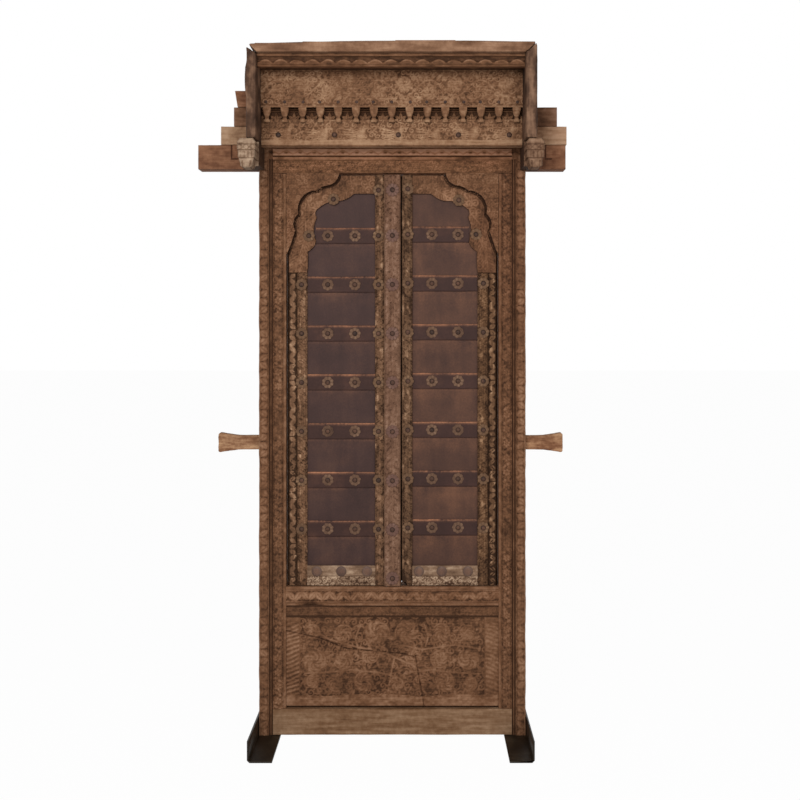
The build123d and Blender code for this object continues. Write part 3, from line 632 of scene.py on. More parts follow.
def zigzag(x, z):
    """Band of low triangles under the hood, with a small notch over each, 1 high and 0 deep."""
    phase = (x / zigzag_pitch) % 1
    tooth = 1 - np.abs(phase - 0.5) * 2
    slanted = 1 - 0.4 * np.exp(-(((z - rail_top + 19 - 12 * tooth) / 2.4) ** 2))
    aside = (np.abs(phase - 0.5) * zigzag_pitch / 6) ** 2 + ((z - rail_top + 14) / 3.4) ** 2
    return np.clip(slanted - 0.7 * np.exp(-(aside**2)), 0, 1)


print("bands ready")

# %% [markdown]
# ## Dense foliage
#
# The carver filled every free place with small scrolls, buds and leaves. A staggered grid of
# cells, each with one of the strokes turned at random, gives the same dense surface.

# %% Foliage


def foliage(x, z, cell, seed, stroke=0.09):
    """Height of small scrolls, flowers and leaves, one in each cell of a staggered grid."""
    random = np.random.default_rng(seed)
    height = np.zeros_like(x)
    for row, level in enumerate(np.arange(z.min(), z.max() + cell, cell * 0.86)):
        in_row = np.flatnonzero(np.abs(z.ravel() - level) < cell * 0.9)
        row_x, row_z = x.ravel()[in_row], z.ravel()[in_row]
        for place in np.arange(x.min() - (row % 2) * cell / 2, x.max() + cell, cell):
            aside, up = random.uniform(-0.14, 0.14), random.uniform(-0.14, 0.14)
            spot = (place + aside * cell, level + up * cell)
            kind, turn, hand = random.integers(4), random.uniform(0, 360), random.choice((-1, 1))
            near = (np.abs(row_x - spot[0]) < cell * 0.75) & (np.abs(row_z - spot[1]) < cell * 0.75)
            if not near.any():
                continue
            px, pz = row_x[near], row_z[near]
            if kind < 2:
                drawn = scroll(px, pz, spot, cell * 0.47, 1.3, cell * stroke, turn, hand)
            elif kind == 2:
                drawn = flower(px, pz, spot, cell * 0.5, 6, turn)
            else:
                drawn = np.maximum.reduce([leaf(px, pz, spot, turn + lean, cell * 0.72, cell * 0.34)
                                           for lean in (-62, 0, 62, 180)])
            at = in_row[near]
            height.flat[at] = np.maximum(height.flat[at], drawn)
    return height


def worked(x, z, height, seed, size=26):
    """Carving as it is after long wear: crests rubbed down unevenly, cuts partly filled."""
    rub = np.clip(0.78 + 0.45 * worn(x, 0 * x, z, (size * 2.4, 30, size * 2.4), seed), 0.3, 1)
    grit = 0.14 * cloudy(x, 0 * x, z, (3.2, 9, 3.2), seed + 7)
    return np.clip(height * rub + grit, 0, 1)


print("foliage ready")

# %% [markdown]
# ## Finishing a piece
#
# Every finished piece gets smooth shading, its material and the body that it moves with, and
# the measured nodes that it replaces are hidden.

# %% Finish a piece
made = []


def dress(piece, material, body, slot, *nodes, angle=48):
    """Smooth shading, material, body and the nodes that the piece replaces; the slot is not used."""
    select_only(piece)
    bpy.ops.object.shade_smooth_by_angle(angle=math.radians(angle))
    piece.data.materials.clear()
    piece.data.materials.append(material)
    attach(piece, body)
    if nodes:
        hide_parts(*nodes)
    faces = sum(len(p.vertices) - 2 for p in piece.data.polygons)
    made.append(faces)
    print(f"{piece.name}: {faces} triangles, {sum(made)} so far")


print("pieces made", len(made))

# %% [markdown]
# ## Jambs
#
# Each jamb has a rounded outer band carved with slanted leaves, a groove with a bead in it, and
# an inner band with a row of flowers. The outer edge is worn pale and bumpy. The jamb is cut
# back at the top for the lintel and the head rail, and at the foot for the bottom rail.

# %% Places of the jambs
jamb_low, jamb_high = reach("right_upright")
outer_x, inner_x = jamb_high[0], jamb_low[0]
jamb_depth = jamb_high[1]
rail_foot_top = reach("bottom_rail")[1][2]
head_bottom = reach("head_rail")[0][2]
beam_bottom = lowest_beyond("lintel_beam", outer_x + 20)
shoulder_bottom = reach("lintel_beam")[0][2]
tongue = reach("lintel_beam")[0][1]
lapped_x = reach("bottom_rail")[1][0]
lap_depth = 30
band, groove_width, lip = 31, 12, 8
inner_band = outer_x - band - groove_width
over_top = rail_top - 36
print("jamb from", round(inner_x), "to", round(outer_x), "beam above", round(beam_bottom))

# %% Section of a jamb, as (distance in from its outer side, depth)
jamb_front = [(0, 3), (3, 0), (28, 0), (31, 3), (31, 9), (34.5, 9), (35.5, 6), (38.5, 6), (39.5, 9),
              (43, 9), (43, 5), (46, 2), (71, 2), (74, 5), (74, 9), (82, 10)]
face_depth = 11


def jamb_section():
    """Closed row of (across, depth) points: fine over the mouldings, a few behind them."""
    front = fine_row([(outer_x - inwards, y) for inwards, y in jamb_front], 2.6)[:-1]
    last = np.argmin(np.hypot(front[:, 0] - inner_x, front[:, 1] - jamb_front[-1][1]))
    back = [(inner_x, 50), (inner_x, jamb_depth), ((inner_x + outer_x) / 2, jamb_depth),
            (outer_x, jamb_depth), (outer_x, 60), (outer_x, 30), (outer_x, 12)]
    return np.array([*map(tuple, front[: last + 1]), *back, tuple(front[0])])


print("section points", len(jamb_section()))

# %% Jambs
leaf_pitch, flower_pitch, flower_radius = 24, 43, 13
carving_depth = 3.4


def jamb_carving(x, z, outer_band, inner_face, seed):
    """Height of the carving: leaves on the outer band, flowers on the inner, foliage between."""
    leaves = slanted_leaves(z, x - (outer_x - band / 2), leaf_pitch, band - 8)
    blooms = flower_row(z, x - (inner_band + inner_x + lip) / 2, flower_pitch, flower_radius, 6)
    cut = np.where(inner_face, blooms, np.where(outer_band, leaves, 0))
    fill = 0.5 * foliage(x, z, 11, seed, 0.13)
    return np.where(outer_band | inner_face, np.maximum(cut, fill), cut)


def jamb(name, side, seed):
    """One jamb as a swept grid with both of its carved bands."""
    section = jamb_section()
    levels = [rail_foot_top, beam_bottom, head_bottom]
    along = np.sort(np.append(stations(jamb_low[2], jamb_high[2], 2.4), levels))
    x, z = np.meshgrid(section[:, 0], along)
    y = np.broadcast_to(section[:, 1], x.shape).copy()
    face = y < face_depth
    outer_band = face & (x > outer_x - band + 2) & (x < outer_x - 2)
    inner_face = face & (x < inner_band - 1) & (x > inner_x + lip + 1)
    carved_part = outer_band | inner_face
    over = face & (z > over_top)
    cut = jamb_carving(x, z, outer_band, inner_face, seed + 9)
    cut = np.where(over, zigzag(side * x, z), cut)
    y = np.where(over, np.minimum(y, 4), y)
    fade = np.where(over, 1, np.clip(0.7 + 0.6 * worn(x, 0, z, (60, 60, 90), seed), 0.25, 1))
    dent = worn(x, y, z, (9, 9, 16), seed + 3)
    edge = np.exp(-(((outer_x - x) / 5) ** 2)) * (y < 40)
    y = y + np.where(face, carving_depth * (1 - cut * fade) * carved_part + 0.7 * dent, 0)
    x = x - edge * (1.4 + 1.8 * worn(0 * x, 0, z, (9, 9, 42), seed + 5))
    y = np.where((z >= beam_bottom) & (y > tongue), tongue, y)
    y = np.where((z >= head_bottom) & (x < lapped_x) & (y < tongue), tongue, y)
    y = np.where((z <= rail_foot_top) & (x < lapped_x) & (y < lap_depth), lap_depth, y)
    relief = np.where(carved_part, 0.2 + 0.5 * cut * fade, 0.45) + 0.14 * dent
    relief = np.where(over, 0.06 + 0.42 * cut + 0.2 * dent, relief)
    hollow = face & ~over & (x < outer_x - band) & (x > inner_band)
    relief = np.where(hollow, np.where(y > 8, 0.02, 0.34 + 0.1 * dent), relief)
    relief = np.maximum(relief, (0.62 + 0.1 * dent) * (edge > 0.4))
    piece = swept_grid(name, np.stack([side * x, y, z], axis=-1), relief)
    dress(piece, carved_upright, "frame", "carved_wood", name.replace("_carved", ""))


jamb("left_upright_carved", -1, 11)
jamb("right_upright_carved", 1, 17)

# %% [markdown]
# ## Timbers with a fine face and a coarse back
#
# Only the face that is carved needs points every two or three millimetres. The helper below
# puts fine points where the section lies near the front and few points elsewhere. The section
# is a list of (across, depth) corners for an upright, or (level, depth) corners for a rail.

# %% Timber tools


def eased(corners, radius):
    """Section with each sharp corner replaced by three points of a small round."""
    rounded = []
    for before, corner, after in zip(corners[-1:] + corners[:-1], corners, corners[1:] + corners[:1]):
        ends = []
        for other in (before, after):
            reach_part = min(radius, 0.4 * math.dist(corner, other)) / math.dist(corner, other)
            ends.append(tuple(c + (o - c) * reach_part for c, o in zip(corner, other)))
        middle = tuple(0.5 * c + 0.25 * (a + b) for c, a, b in zip(corner, *ends))
        rounded += [ends[0], middle, ends[1]]
    return rounded


def section_row(corners, fine, coarse, fine_depth):
    """Closed row of points: fine steps where both ends of a side lie in front of fine_depth."""
    row = []
    for start, end in zip(corners, corners[1:] + corners[:1]):
        step = fine if max(start[1], end[1]) <= fine_depth else coarse
        parts = max(1, math.ceil(math.dist(start, end) / step))
        for part in range(parts):
            share = part / parts
            row.append((start[0] + (end[0] - start[0]) * share, start[1] + (end[1] - start[1]) * share))
    return np.array(row + row[:1])


def timber(run, corners, start, end, fine=2.2, coarse=14, fine_depth=1e3, along_step=None):
    """Across, depth and level of every point of a timber that runs along X or Z."""
    row = section_row(corners, fine, coarse, fine_depth)
    along = stations(start, end, along_step or fine)
    across, length = np.meshgrid(row[:, 0], along)
    depth = np.broadcast_to(row[:, 1], across.shape).copy()
    return (length, depth, across) if run == "X" else (across, depth, length)


def pull_in(value, low, high, amount):
    """Places near either limit moved inwards by an amount, the rest left where they are."""
    middle, half = (low + high) / 2, (high - low) / 2
    share = np.clip(np.abs(value - middle) / half * 8 - 7, 0, 1)
    return value - np.sign(value - middle) * share * amount


def finish_timber(name, x, y, z, relief, material, body, slot, *nodes, angle=48):
    """Mesh from the points of a timber, dressed."""
    piece = swept_grid(name, np.stack(np.broadcast_arrays(x, y, z), axis=-1), relief)
    dress(piece, material, body, slot, *nodes, angle=angle)
    return piece


def merged_copy(name, node):
    """Selected copy of a measured solid's mesh, in its place, with its doubles merged."""
    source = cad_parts[node]
    piece = bpy.data.objects.new(name, source.data.copy())
    piece.data.name = name
    piece.data.transform(source.matrix_world)
    bpy.context.scene.collection.objects.link(piece)
    select_only(piece)
    bpy.ops.object.mode_set(mode="EDIT")
    bpy.ops.mesh.select_all(action="SELECT")
    bpy.ops.mesh.remove_doubles(threshold=1e-6)
    bpy.ops.object.mode_set(mode="OBJECT")
    return piece


def modify(piece, kind, **values):
    """Adds a modifier to the active piece, sets its values and applies it."""
    modifier = piece.modifiers.new(kind.lower(), kind)
    for key_name, value in values.items():
        setattr(modifier, key_name, value)
    bpy.ops.object.modifier_apply(modifier=modifier.name)


def remeshed(name, node, cell):
    """Even fine mesh over a measured solid, with cells of a size in millimetres."""
    piece = merged_copy(name, node)
    modify(piece, "REMESH", mode="VOXEL", voxel_size=cell * MM)
    return piece


def points_of(piece):
    """Places in millimetres and normals of a mesh's points, as rows x, y, z."""
    count = len(piece.data.vertices)
    place, normal = np.empty(count * 3), np.empty(count * 3)
    piece.data.vertices.foreach_get("co", place)
    piece.data.vertices.foreach_get("normal", normal)
    return (place.reshape(-1, 3).T - np.array([[middle_x], [0], [0]])) / MM, normal.reshape(-1, 3).T


def set_points(piece, place, relief):
    """Moves the points of a mesh to places in millimetres and stores the relief."""
    metres = place.T * MM + (middle_x, 0, 0)
    piece.data.vertices.foreach_set("co", metres.ravel())
    write_relief(piece, relief)
    piece.data.update()


print("timber tools ready")

# %% [markdown]
# ## Head rail
#
# The head rail carries a row of low triangles, a fillet that has kept some red and is sooty in
# places, and a lower band with shallow foliage. Its face is one grid, stepped in depth where the
# mouldings are.

# %% Head rail
rail_low, rail_high = reach("head_rail")
zigzag_low, fillet_low = rail_top - 26, over_top
head_section = [(rail_low[2], 24), (rail_low[2], 7), (fillet_low, 7), (fillet_low, 2),
                (zigzag_low - 2, 2), (zigzag_low, 4), (rail_high[2], 4), (rail_high[2], 24)]
x, y, z = timber("X", head_section, rail_low[0], rail_high[0], 1.9, 8, 10)
face = y < 10
in_zigzag = face & (z > zigzag_low) & (z < rail_high[2] - 2)
crest = np.where(in_zigzag, zigzag(x, z), 0)
in_low = face & (z < fillet_low - 3) & (z > rail_low[2] + 3)
faint = np.where(in_low, worked(x, z, foliage(x, z, 15, 41, 0.11), 43), 0)
dent = worn(x, y, z, (30, 9, 9), 44)
y = y - 3 * crest + np.where(in_low, 1.8 * (1 - faint) - 0.6, 0)
y = y + np.where(face, 0.25 * (1 + dent), 0)
print("points of the head rail", x.size)

# %% Colour of the head rail
soot = np.clip(1.4 * cloudy(x, 0 * x, 0 * z, (46, 9, 9), 46) - 0.3, 0, 0.8)
fillet = (0.6 - 0.1 * np.clip((x + 100) / 300, 0, 1)) * (1 - soot)
relief = np.where(in_zigzag, 0.2 + 0.72 * crest, np.where(z > fillet_low + 1, fillet, 0.36))
relief = relief + 0.16 * dent
relief = np.where(np.abs(z - zigzag_low - 1) < 1.5, 0.05, relief)
relief = np.where(in_low, 0.3 + 0.26 * faint + 0.12 * dent, relief)
finish_timber("head_rail_carved", x, y, z, relief, carved_red, "frame", "head_wood", "head_rail")

# %% [markdown]
# ## Sill and bottom rail
#
# The sill has a narrow carved band between two lips, hollowed by wear at its left end. The
# bottom rail is plain: only its grain, worn edges and a few dents show.

# %% Sill rail
sill_low, sill_high = reach("sill_rail")
sill_section = [(sill_low[2], 90), (sill_low[2], 12), (sill_low[2] + 7, 12), (sill_low[2] + 10, 6),
                (sill_low[2] + 12, 9), (sill_high[2] - 10, 9), (sill_high[2] - 7, 6),
                (sill_high[2] - 1, 6), (sill_high[2], 7), (sill_high[2], 90)]
x, y, z = timber("X", sill_section, sill_low[0], sill_high[0], 2, 14, 13)
band_level = (sill_low[2] + sill_high[2]) / 2
in_band = (np.abs(z - band_level) < 16) & (y < 10)
twist = slanted_leaves(x, z - band_level, 21, 27)
carving = np.where(in_band, worked(x, z, np.maximum(twist, 0.6 * foliage(x, z, 13, 51)), 52), 0)
hollow = np.exp(-(((x + 246) / 34) ** 2)) * np.clip(1 - (z - sill_low[2]) / 22, 0, 1) * (y < 14)
dent = worn(x, y, z, (40, 9, 9), 53)
rough = np.where(y < 14, 0.4 * (1 + dent), 0)
y = y + np.where(in_band, 2.4 * (1 - carving) - 0.6, 0) + 7 * hollow + rough
relief = np.where(in_band, 0.2 + 0.55 * carving, 0.5) + 0.14 * dent - 0.5 * hollow
finish_timber("sill_rail_carved", x, y, z, relief, carved_across, "frame", "carved_wood", "sill_rail")

# %% Bottom rail
foot_low, foot_high = reach("bottom_rail")
foot_section = eased([(foot_low[2], lap_depth), (foot_low[2], 3), (foot_high[2], 3),
                      (foot_high[2], lap_depth)], 3)
x, y, z = timber("X", foot_section, foot_low[0], foot_high[0], 3.4, 12, 29)
dent = worn(x, y, z, (90, 20, 9), 61)
y = y + np.where(y < 29, 0.8 * (1 + dent), 0)
z = pull_in(z, foot_low[2], foot_high[2], 0.8 * (1 + worn(x, 0 * x, 0 * z, (50, 20, 20), 62)))
finish_timber("bottom_rail_worn", x, y, z, 0.55 + 0.3 * dent, plain_red, "frame", "carved_wood",
              "bottom_rail")
back_section = [(foot_low[2], lap_depth), (foot_high[2], lap_depth), (foot_high[2], foot_high[1]),
                (foot_low[2], foot_high[1])]
x, y, z = timber("X", back_section, sill_low[0], sill_high[0], 14, 14)
finish_timber("bottom_rail_back", x, y, z, 0.5 + 0 * x, plain_red, "frame", "carved_wood")

# %% [markdown]
# ## Lower panel
#
# The carved board under the sill is one grid. Some twenty round swirls of curved leaves cover
# it, each with a scroll wound over it and a ring of small leaves round it. Long stems run
# between them and foliage fills the rest. The borders at the sides have short slanting ridges
# and the foot is a plain lighter strip. The break that runs down from the left is cut in as a
# narrow dark groove, with the broken piece standing a little further back.

# %% Swirls of the panel, as (across, level from its top, radius, turns, first angle, hand)
swirls = [(-48, -82, 42, 0.9, 330, 1), (46, -80, 40, 0.9, 210, -1), (-150, -88, 31, 1.4, 20, 1),
          (-238, -82, 26, 1.2, 160, -1), (150, -84, 30, 1.3, 150, -1), (226, -86, 25, 1.5, 60, 1),
          (-236, -172, 40, 1.1, 90, -1), (-146, -164, 32, 1.6, 200, 1), (-70, -152, 28, 1.3, 10, -1),
          (232, -166, 36, 1.2, 130, 1), (140, -160, 30, 1.5, 300, -1), (66, -158, 26, 1.4, 170, 1),
          (-240, -232, 24, 1.3, 40, 1), (-174, -232, 29, 1.2, 300, -1), (-86, -234, 34, 1.1, 80, 1),
          (14, -238, 24, 1.4, 200, -1), (158, -234, 34, 0.95, 100, -1), (236, -236, 24, 1.3, 220, 1),
          (84, -236, 26, 1.5, 20, 1)]
long_stems = [[(-262, -62), (-190, -104), (-110, -126), (-20, -146), (60, -182), (110, -214)],
              [(-4, -118), (34, -122), (92, -134), (190, -120), (264, -132)],
              [(-264, -206), (-206, -204), (-120, -196), (-40, -204), (0, -214)],
              [(36, -206), (110, -196), (196, -204), (262, -208)],
              [(-96, -60), (-112, -98), (-104, -132)],
              [(96, -58), (108, -96), (100, -124)],
              [(-14, -262), (-2, -196), (6, -160)]]
stem_half = 3.4
panel_low, panel_high = reach("lower_panel")
panel_face, panel_top, half_panel = panel_low[1] + 4, panel_high[2], panel_high[0]


def panel_drawing(x, z):
    """Height of the swirls with their leaves, the stems and the foliage between them."""
    strokes = []
    for number, (place, down, radius, turns, start, hand) in enumerate(swirls):
        spot = (place, panel_top + down)
        strokes.append(0.9 * scroll(x, z, spot, radius, turns, stem_half, start, hand))
        strokes.append(0.9 * whirl(x, z, spot, radius * 0.9, 7 + number % 3, hand * 1.6, 20 * number))
        for turn in range(start % 45, 360, 45):
            lean = math.radians(turn)
            root = (place + 1.02 * radius * math.cos(lean), spot[1] + 1.02 * radius * math.sin(lean))
            strokes.append(0.9 * leaf(x, z, root, turn + 38 * hand, radius * 0.66, radius * 0.3))
    for points in long_stems:
        strokes.append(0.9 * stem(x, z, [(a, panel_top + b) for a, b in points], stem_half))
    return np.maximum(np.maximum.reduce(strokes), 0.7 * foliage(x, z, 25, 71, 0.12))


print("swirls", len(swirls), "stems", len(long_stems))

# %% Parts of the panel, by the drop from its top
cap_foot, field_top, field_foot = 31, 36, 278
field_half, border_inner = half_panel - 42, half_panel - 38
panel_section = [(panel_low[2], panel_high[1]), (panel_low[2], panel_face), (panel_top, panel_face),
                 (panel_top, panel_high[1])]
x, y, z = timber("X", panel_section, -half_panel, half_panel, 2.0, 14, panel_face + 1)
front = y < panel_face + 1
drop = panel_top - z
field = front & (drop > field_top) & (drop < field_foot) & (np.abs(x) < field_half)
border = front & (np.abs(x) >= border_inner) & (drop > 50) & (drop < field_foot)
cap = front & (drop > 4) & (drop < cap_foot)
strip = front & (drop >= 270 + 9 * cloudy(x, 0 * x, 0 * z, (60, 9, 9), 80))
foot_edge = front & (z < panel_low[2] + 5)
print("points of the panel", x.size)

# %% Break of the panel: its level by the place across, then its steep end
break_end, steep_top = 70, 150
seam_line = np.interp(x, [-half_panel, -215, -140, 25, break_end], [77, 101, 131, 146, 157])
steep = np.interp(drop, [157, 309], [break_end, 96])
to_seam = np.where(x < break_end, np.abs(drop - seam_line), 99)
to_seam = np.minimum(to_seam, np.where(drop > steep_top, np.abs(x - steep), 99))
wander = 1.8 * cloudy(x, 0 * x, z, (12, 9, 12), 75)
seam = np.where(front, np.exp(-(((to_seam + wander) / 1.5) ** 2)), 0)
broken = front & (((x < break_end) & (drop > seam_line)) | ((drop > steep_top) & (x < steep)))
print("points on the broken piece", broken.sum())

# %% Lower panel
carving = np.where(field, worked(x, z, panel_drawing(x, z), 72), 0)
bent = z + 0.3 * np.abs(x) + 5 * cloudy(x, 0 * x, z, (30, 9, 30), 78)
ridges = 0.62 + np.where(x < 0, 0.34, 0.16) * np.sin(bent * 2 * math.pi / 13)
carving = np.where(border, worked(x, z, ridges, 73), carving)
cap_carving = np.where(cap, worked(x, z, 0.55 * foliage(x, z, 19, 79, 0.13) + 0.3, 74), 0)
dent = worn(x, y, z, (34, 9, 34), 76)
y = y + np.where(field, 3.6 * (1 - carving), 0) + np.where(border, 2.8 * (1 - carving), 0)
y = y + np.where(cap, -3.4 + 1.6 * (1 - cap_carving), 0) + np.where(front, 0.5 * (1 + dent), 0)
y = y + 3 * seam + np.where(broken, 0.7, 0) + np.where(foot_edge, 9, 0)
smoke_and_painted_shadow = cloudy(x, 0 * x, z, (90, 30, 60), 77)
relief = np.where(field | border, 0.22 + 0.44 * carving, 0.4) + 0.1 * dent + 0.1 * smoke_and_painted_shadow
relief = np.where(cap, 0.2 + 0.22 * cap_carving + 0.08 * dent, relief)
relief = np.where(strip, 0.52 + 0.16 * dent + 0.14 * cloudy(x, 0 * x, z, (7, 9, 5), 86), relief)
# Painted shade: a dark band just under the sill and another just under the cap.
relief = np.where(front & (drop < field_top) & ~cap, 0.12, relief)
# Painted shade: the set-back foot edge gets the darkest colour, for the shadowed gap over the bottom
# rail. The break is darkened along its line.
relief = np.where(foot_edge, 0, relief * (1 - 0.6 * seam))
finish_timber("lower_panel_carved", x, y, z, relief, carved_across, "frame", "carved_wood",
              "lower_panel", "panel_patch")

# %% [markdown]
# ## Friezes of the hood
#
# The upper frieze has a waving vine with a round whirl of leaves in each bend, a spray of
# pointed leaves outside the bend, and foliage between. The lower frieze is a row of birds with
# striped tails, as this kind of traditional carving has them, under a dark recess with a
# three-lobed bud between every two pendants.

# %% Upper frieze
upper_low, upper_high = reach("upper_frieze")
hood_half = upper_high[0]
upper_face = upper_low[1] + 2
scallop_low, scallop_high = reach("hood_scallops")
frieze_foot = upper_low[2] - 10
upper_section = [(frieze_foot, upper_high[1]), (frieze_foot, upper_face), (scallop_low[2], upper_face),
                 (upper_high[2], upper_face), (upper_high[2], upper_high[1])]
x, y, z = timber("X", upper_section, -hood_half, hood_half, 1.9, 12, upper_face + 1)
front = (y < upper_face + 1) & (z < scallop_low[2] + 6)
vine_middle = (upper_low[2] + scallop_low[2]) / 2
vine_margin, vine_swing, vine_bends = 12, 24, 10
wave = 2 * math.pi * (vine_bends / 2) / (2 * (hood_half - vine_margin))
swing = vine_swing * np.sin(wave * (x + hood_half - vine_margin))
slope = vine_swing * wave * np.cos(wave * (x + hood_half - vine_margin))
vine = 0.8 * ridge((z - vine_middle - swing) / np.sqrt(1 + slope**2), 3)
bend = math.pi / wave
strokes = [vine]
for index in range(vine_bends):
    place = -hood_half + vine_margin + (index + 0.5) * bend
    hand = 1 if index % 2 == 0 else -1
    spot = (place, vine_middle - 12 * hand)
    strokes.append(0.85 * whirl(x, z, spot, 23, 7, 1.5 * hand, 12 * index))
    for lean in (-66, -40, -14, 14, 40, 66):
        root = (place + lean * 0.5, vine_middle + vine_swing * hand)
        strokes.append(0.95 * leaf(x, z, root, 90 * hand - lean * hand, 26, 11))
drawn = np.maximum(np.maximum.reduce(strokes), 0.85 * foliage(x, z, 19, 81, 0.13))
carving = worked(x, z, drawn, 82)
dent = worn(x, y, z, (30, 9, 30), 83)
y = y + np.where(front, 3.2 * (1 - carving) - 1.4 + 0.5 * dent, 0)
y = np.maximum(y, upper_low[1])
edge_line = (z < frieze_foot + 4) & front
relief = np.where(front, 0.3 + 0.36 * carving + 0.1 * dent, 0.15)
relief = np.where(edge_line, 0.52, relief)
finish_timber("upper_frieze_carved", x, y, z, relief, frieze_wood, "frame", "carved_wood",
              "upper_frieze")

# %% Lower frieze


def bird(x, z, spot):
    """Bird that looks to the right, with an eye, a folded wing and a fan of tail feathers."""
    px, pz = x - spot[0], z - spot[1]
    body = ridge(np.hypot(px - 7, (pz + 2) / 1.7), 14)
    head = ridge(np.hypot(px - 17, pz - 21), 8)
    beak = leaf(px, pz, (21, 21), -18, 15, 6)
    neck = ridge(np.hypot((px - 13) / 0.9, (pz - 12) / 1.4), 8)
    tail = [leaf(px, pz, (2, rise * 0.5), 180 - rise * 0.7, 58, 5.6) for rise in range(-24, 17, 8)]
    wing = 0.5 + 0.5 * np.sin((px * 0.7 + pz) * 2 * math.pi / 6)
    shape = np.maximum.reduce([body * (0.72 + 0.28 * wing), head, neck, beak, *tail])
    eye = np.exp(-((np.hypot(px - 18, pz - 22) / 2.2) ** 2))
    return shape * (1 - 0.8 * eye)


lower_low, lower_high = reach("lower_frieze")
bird_face = lower_low[1] + 2
recess_low = lower_high[2] - 44
lower_section = [(lower_low[2], lower_high[1]), (lower_low[2], bird_face), (lower_high[2], bird_face),
                 (lower_high[2], lower_high[1])]
x, y, z = timber("X", lower_section, -hood_half, hood_half, 1.9, 12, bird_face + 1)
front = y < bird_face + 1
bird_count = 7
bird_pitch = 2 * hood_half / bird_count
bird_level = (lower_low[2] + lower_high[2] - 54) / 2
birds = np.maximum.reduce([bird(x, z, (-hood_half + (n + 0.62) * bird_pitch, bird_level))
                           for n in range(bird_count)])
ground = np.maximum(birds, 0.75 * foliage(x, z, 18, 91, 0.13))
picture = front & (z < recess_low + 2) & (z > lower_low[2] + 20)
carving = np.where(picture, worked(x, z, ground, 92), 0)
recess = front & (z >= recess_low + 2)
pendant_margin, pendant_count = 17.5, 15
pendant_pitch = 2 * (hood_half - pendant_margin) / (pendant_count - 1)
gap_place = (x + hood_half - pendant_margin) % pendant_pitch
buds = np.maximum.reduce([leaf(gap_place, z, (pendant_pitch / 2, recess_low - 2), turn, 26, 13)
                          for turn in (40, 90, 140)])
rail_lines = ridge((z - frieze_foot) % 6 - 3, 2) * (z > frieze_foot - 12)
deep = np.where(recess, np.maximum(worked(x, z, buds, 93), 0.8 * rail_lines), 0)
dent = worn(x, y, z, (30, 9, 30), 94)
y = y + np.where(picture, 3.2 * (1 - carving) - 1.2, 0) + np.where(front, 0.5 * (1 + dent), 0)
y = y + np.where(recess, 4 + 8 * (1 - deep), 0)
y = np.maximum(y, lower_low[1])
relief = np.where(picture, 0.28 + 0.42 * carving, 0.58) + 0.1 * dent
# Painted shade: besides its depth, the recess between the pendants gets a very low relief.
relief = np.where(recess, 0.02 + 0.5 * deep, relief)
# Painted shade: the bottom edge of the frieze is coloured darker, for the shadow line over the head
# rail.
relief = np.where(front & (z < lower_low[2] + 5), 0.3, relief)
finish_timber("lower_frieze_carved", x, y, z, relief, frieze_wood, "frame", "carved_wood",
              "lower_frieze")

# %% [markdown]
# ## Cornice
#
# Under the top board runs a plain fillet, then a sunk band with a row of round scallops whose
# pockets have gone dark, then a thin bead.

# %% Scallop cornice
cornice_front, cornice_back = scallop_low[1], scallop_high[1]
cornice_section = [(scallop_low[2], cornice_back), (scallop_low[2], cornice_front + 6),
                   (scallop_low[2] + 3, cornice_front + 4), (scallop_low[2] + 6, cornice_front + 6),
                   (scallop_low[2] + 6.5, cornice_front + 12), (scallop_high[2] - 8, cornice_front + 12),
                   (scallop_high[2] - 8, cornice_front + 1), (scallop_high[2] - 1, cornice_front),
                   (scallop_high[2], cornice_back)]
x, y, z = timber("X", cornice_section, -hood_half, hood_half, 1.9, 12, cornice_front + 13)
pocket = (y > cornice_front + 10) & (y < cornice_front + 14) & (z < scallop_high[2] - 8.5)
cup_count = 17
cup_pitch = 2 * hood_half / cup_count
cup_x = ((x + hood_half) / cup_pitch) % 1 - 0.5
dent = worn(x, y, z, (24, 9, 9), 101)
hump = scallop_high[2] - 23 + (8 + 2 * dent) * np.clip(1 - (2.3 * cup_x) ** 2, 0, 1) - z
cup = np.clip(hump / 2.5, 0, 1)
crest = np.exp(-(((hump - 3) / 2.4) ** 2)) * (np.abs(cup_x) < 0.42) * np.clip(0.7 + dent, 0, 1)
y = y + np.where(pocket, -5 * cup - 1.2 * crest, 0) + 0.4 * (1 + dent)
relief = np.where(pocket, 0.2 + 0.16 * cup + 0.3 * crest, 0.36) + 0.18 * dent
finish_timber("hood_scallops_carved", x, y, z, relief, carved_across, "frame", "carved_wood",
              "hood_scallops")

# %% [markdown]
# ## Spandrels and arch pieces
#
# Their cusped outlines are in the measured solids, so each is a copy of the solid's mesh,
# remeshed into even small faces. Points whose normal faces the front are then pushed in where
# the carving is low. The spandrels carry foliage, the arch pieces a feathered stem that follows
# the arch.

# %% Spandrels and arch pieces


def carve_copy(name, node, cell, height, depth, seed, low=0.2, span=0.5):
    """Remeshed copy of a solid with carving pushed into its front face and worn edges."""
    piece = remeshed(name, node, cell)
    place, normal = points_of(piece)
    x, y, z = place
    facing = np.clip((-normal[1] - 0.5) * 3, 0, 1)
    carving = worked(x, z, height(x, z), seed)
    dent = worn(x, y, z, (30, 20, 30), seed + 1)
    y = y + facing * (depth * (1 - carving) + 0.3 * (1 + dent))
    x = x - normal[0] * (1 - facing) * 0.5 * (1 + dent)
    z = z - normal[2] * (1 - facing) * 0.5 * (1 + dent)
    # Faces that do not look to the front get relief 0, the darkest colour: painted shade in the cusped
    # gaps between the pieces.
    relief = np.where(facing > 0.4, low + span * carving, 0) + 0.12 * dent
    set_points(piece, np.stack([x, y, z]), relief)
    return piece


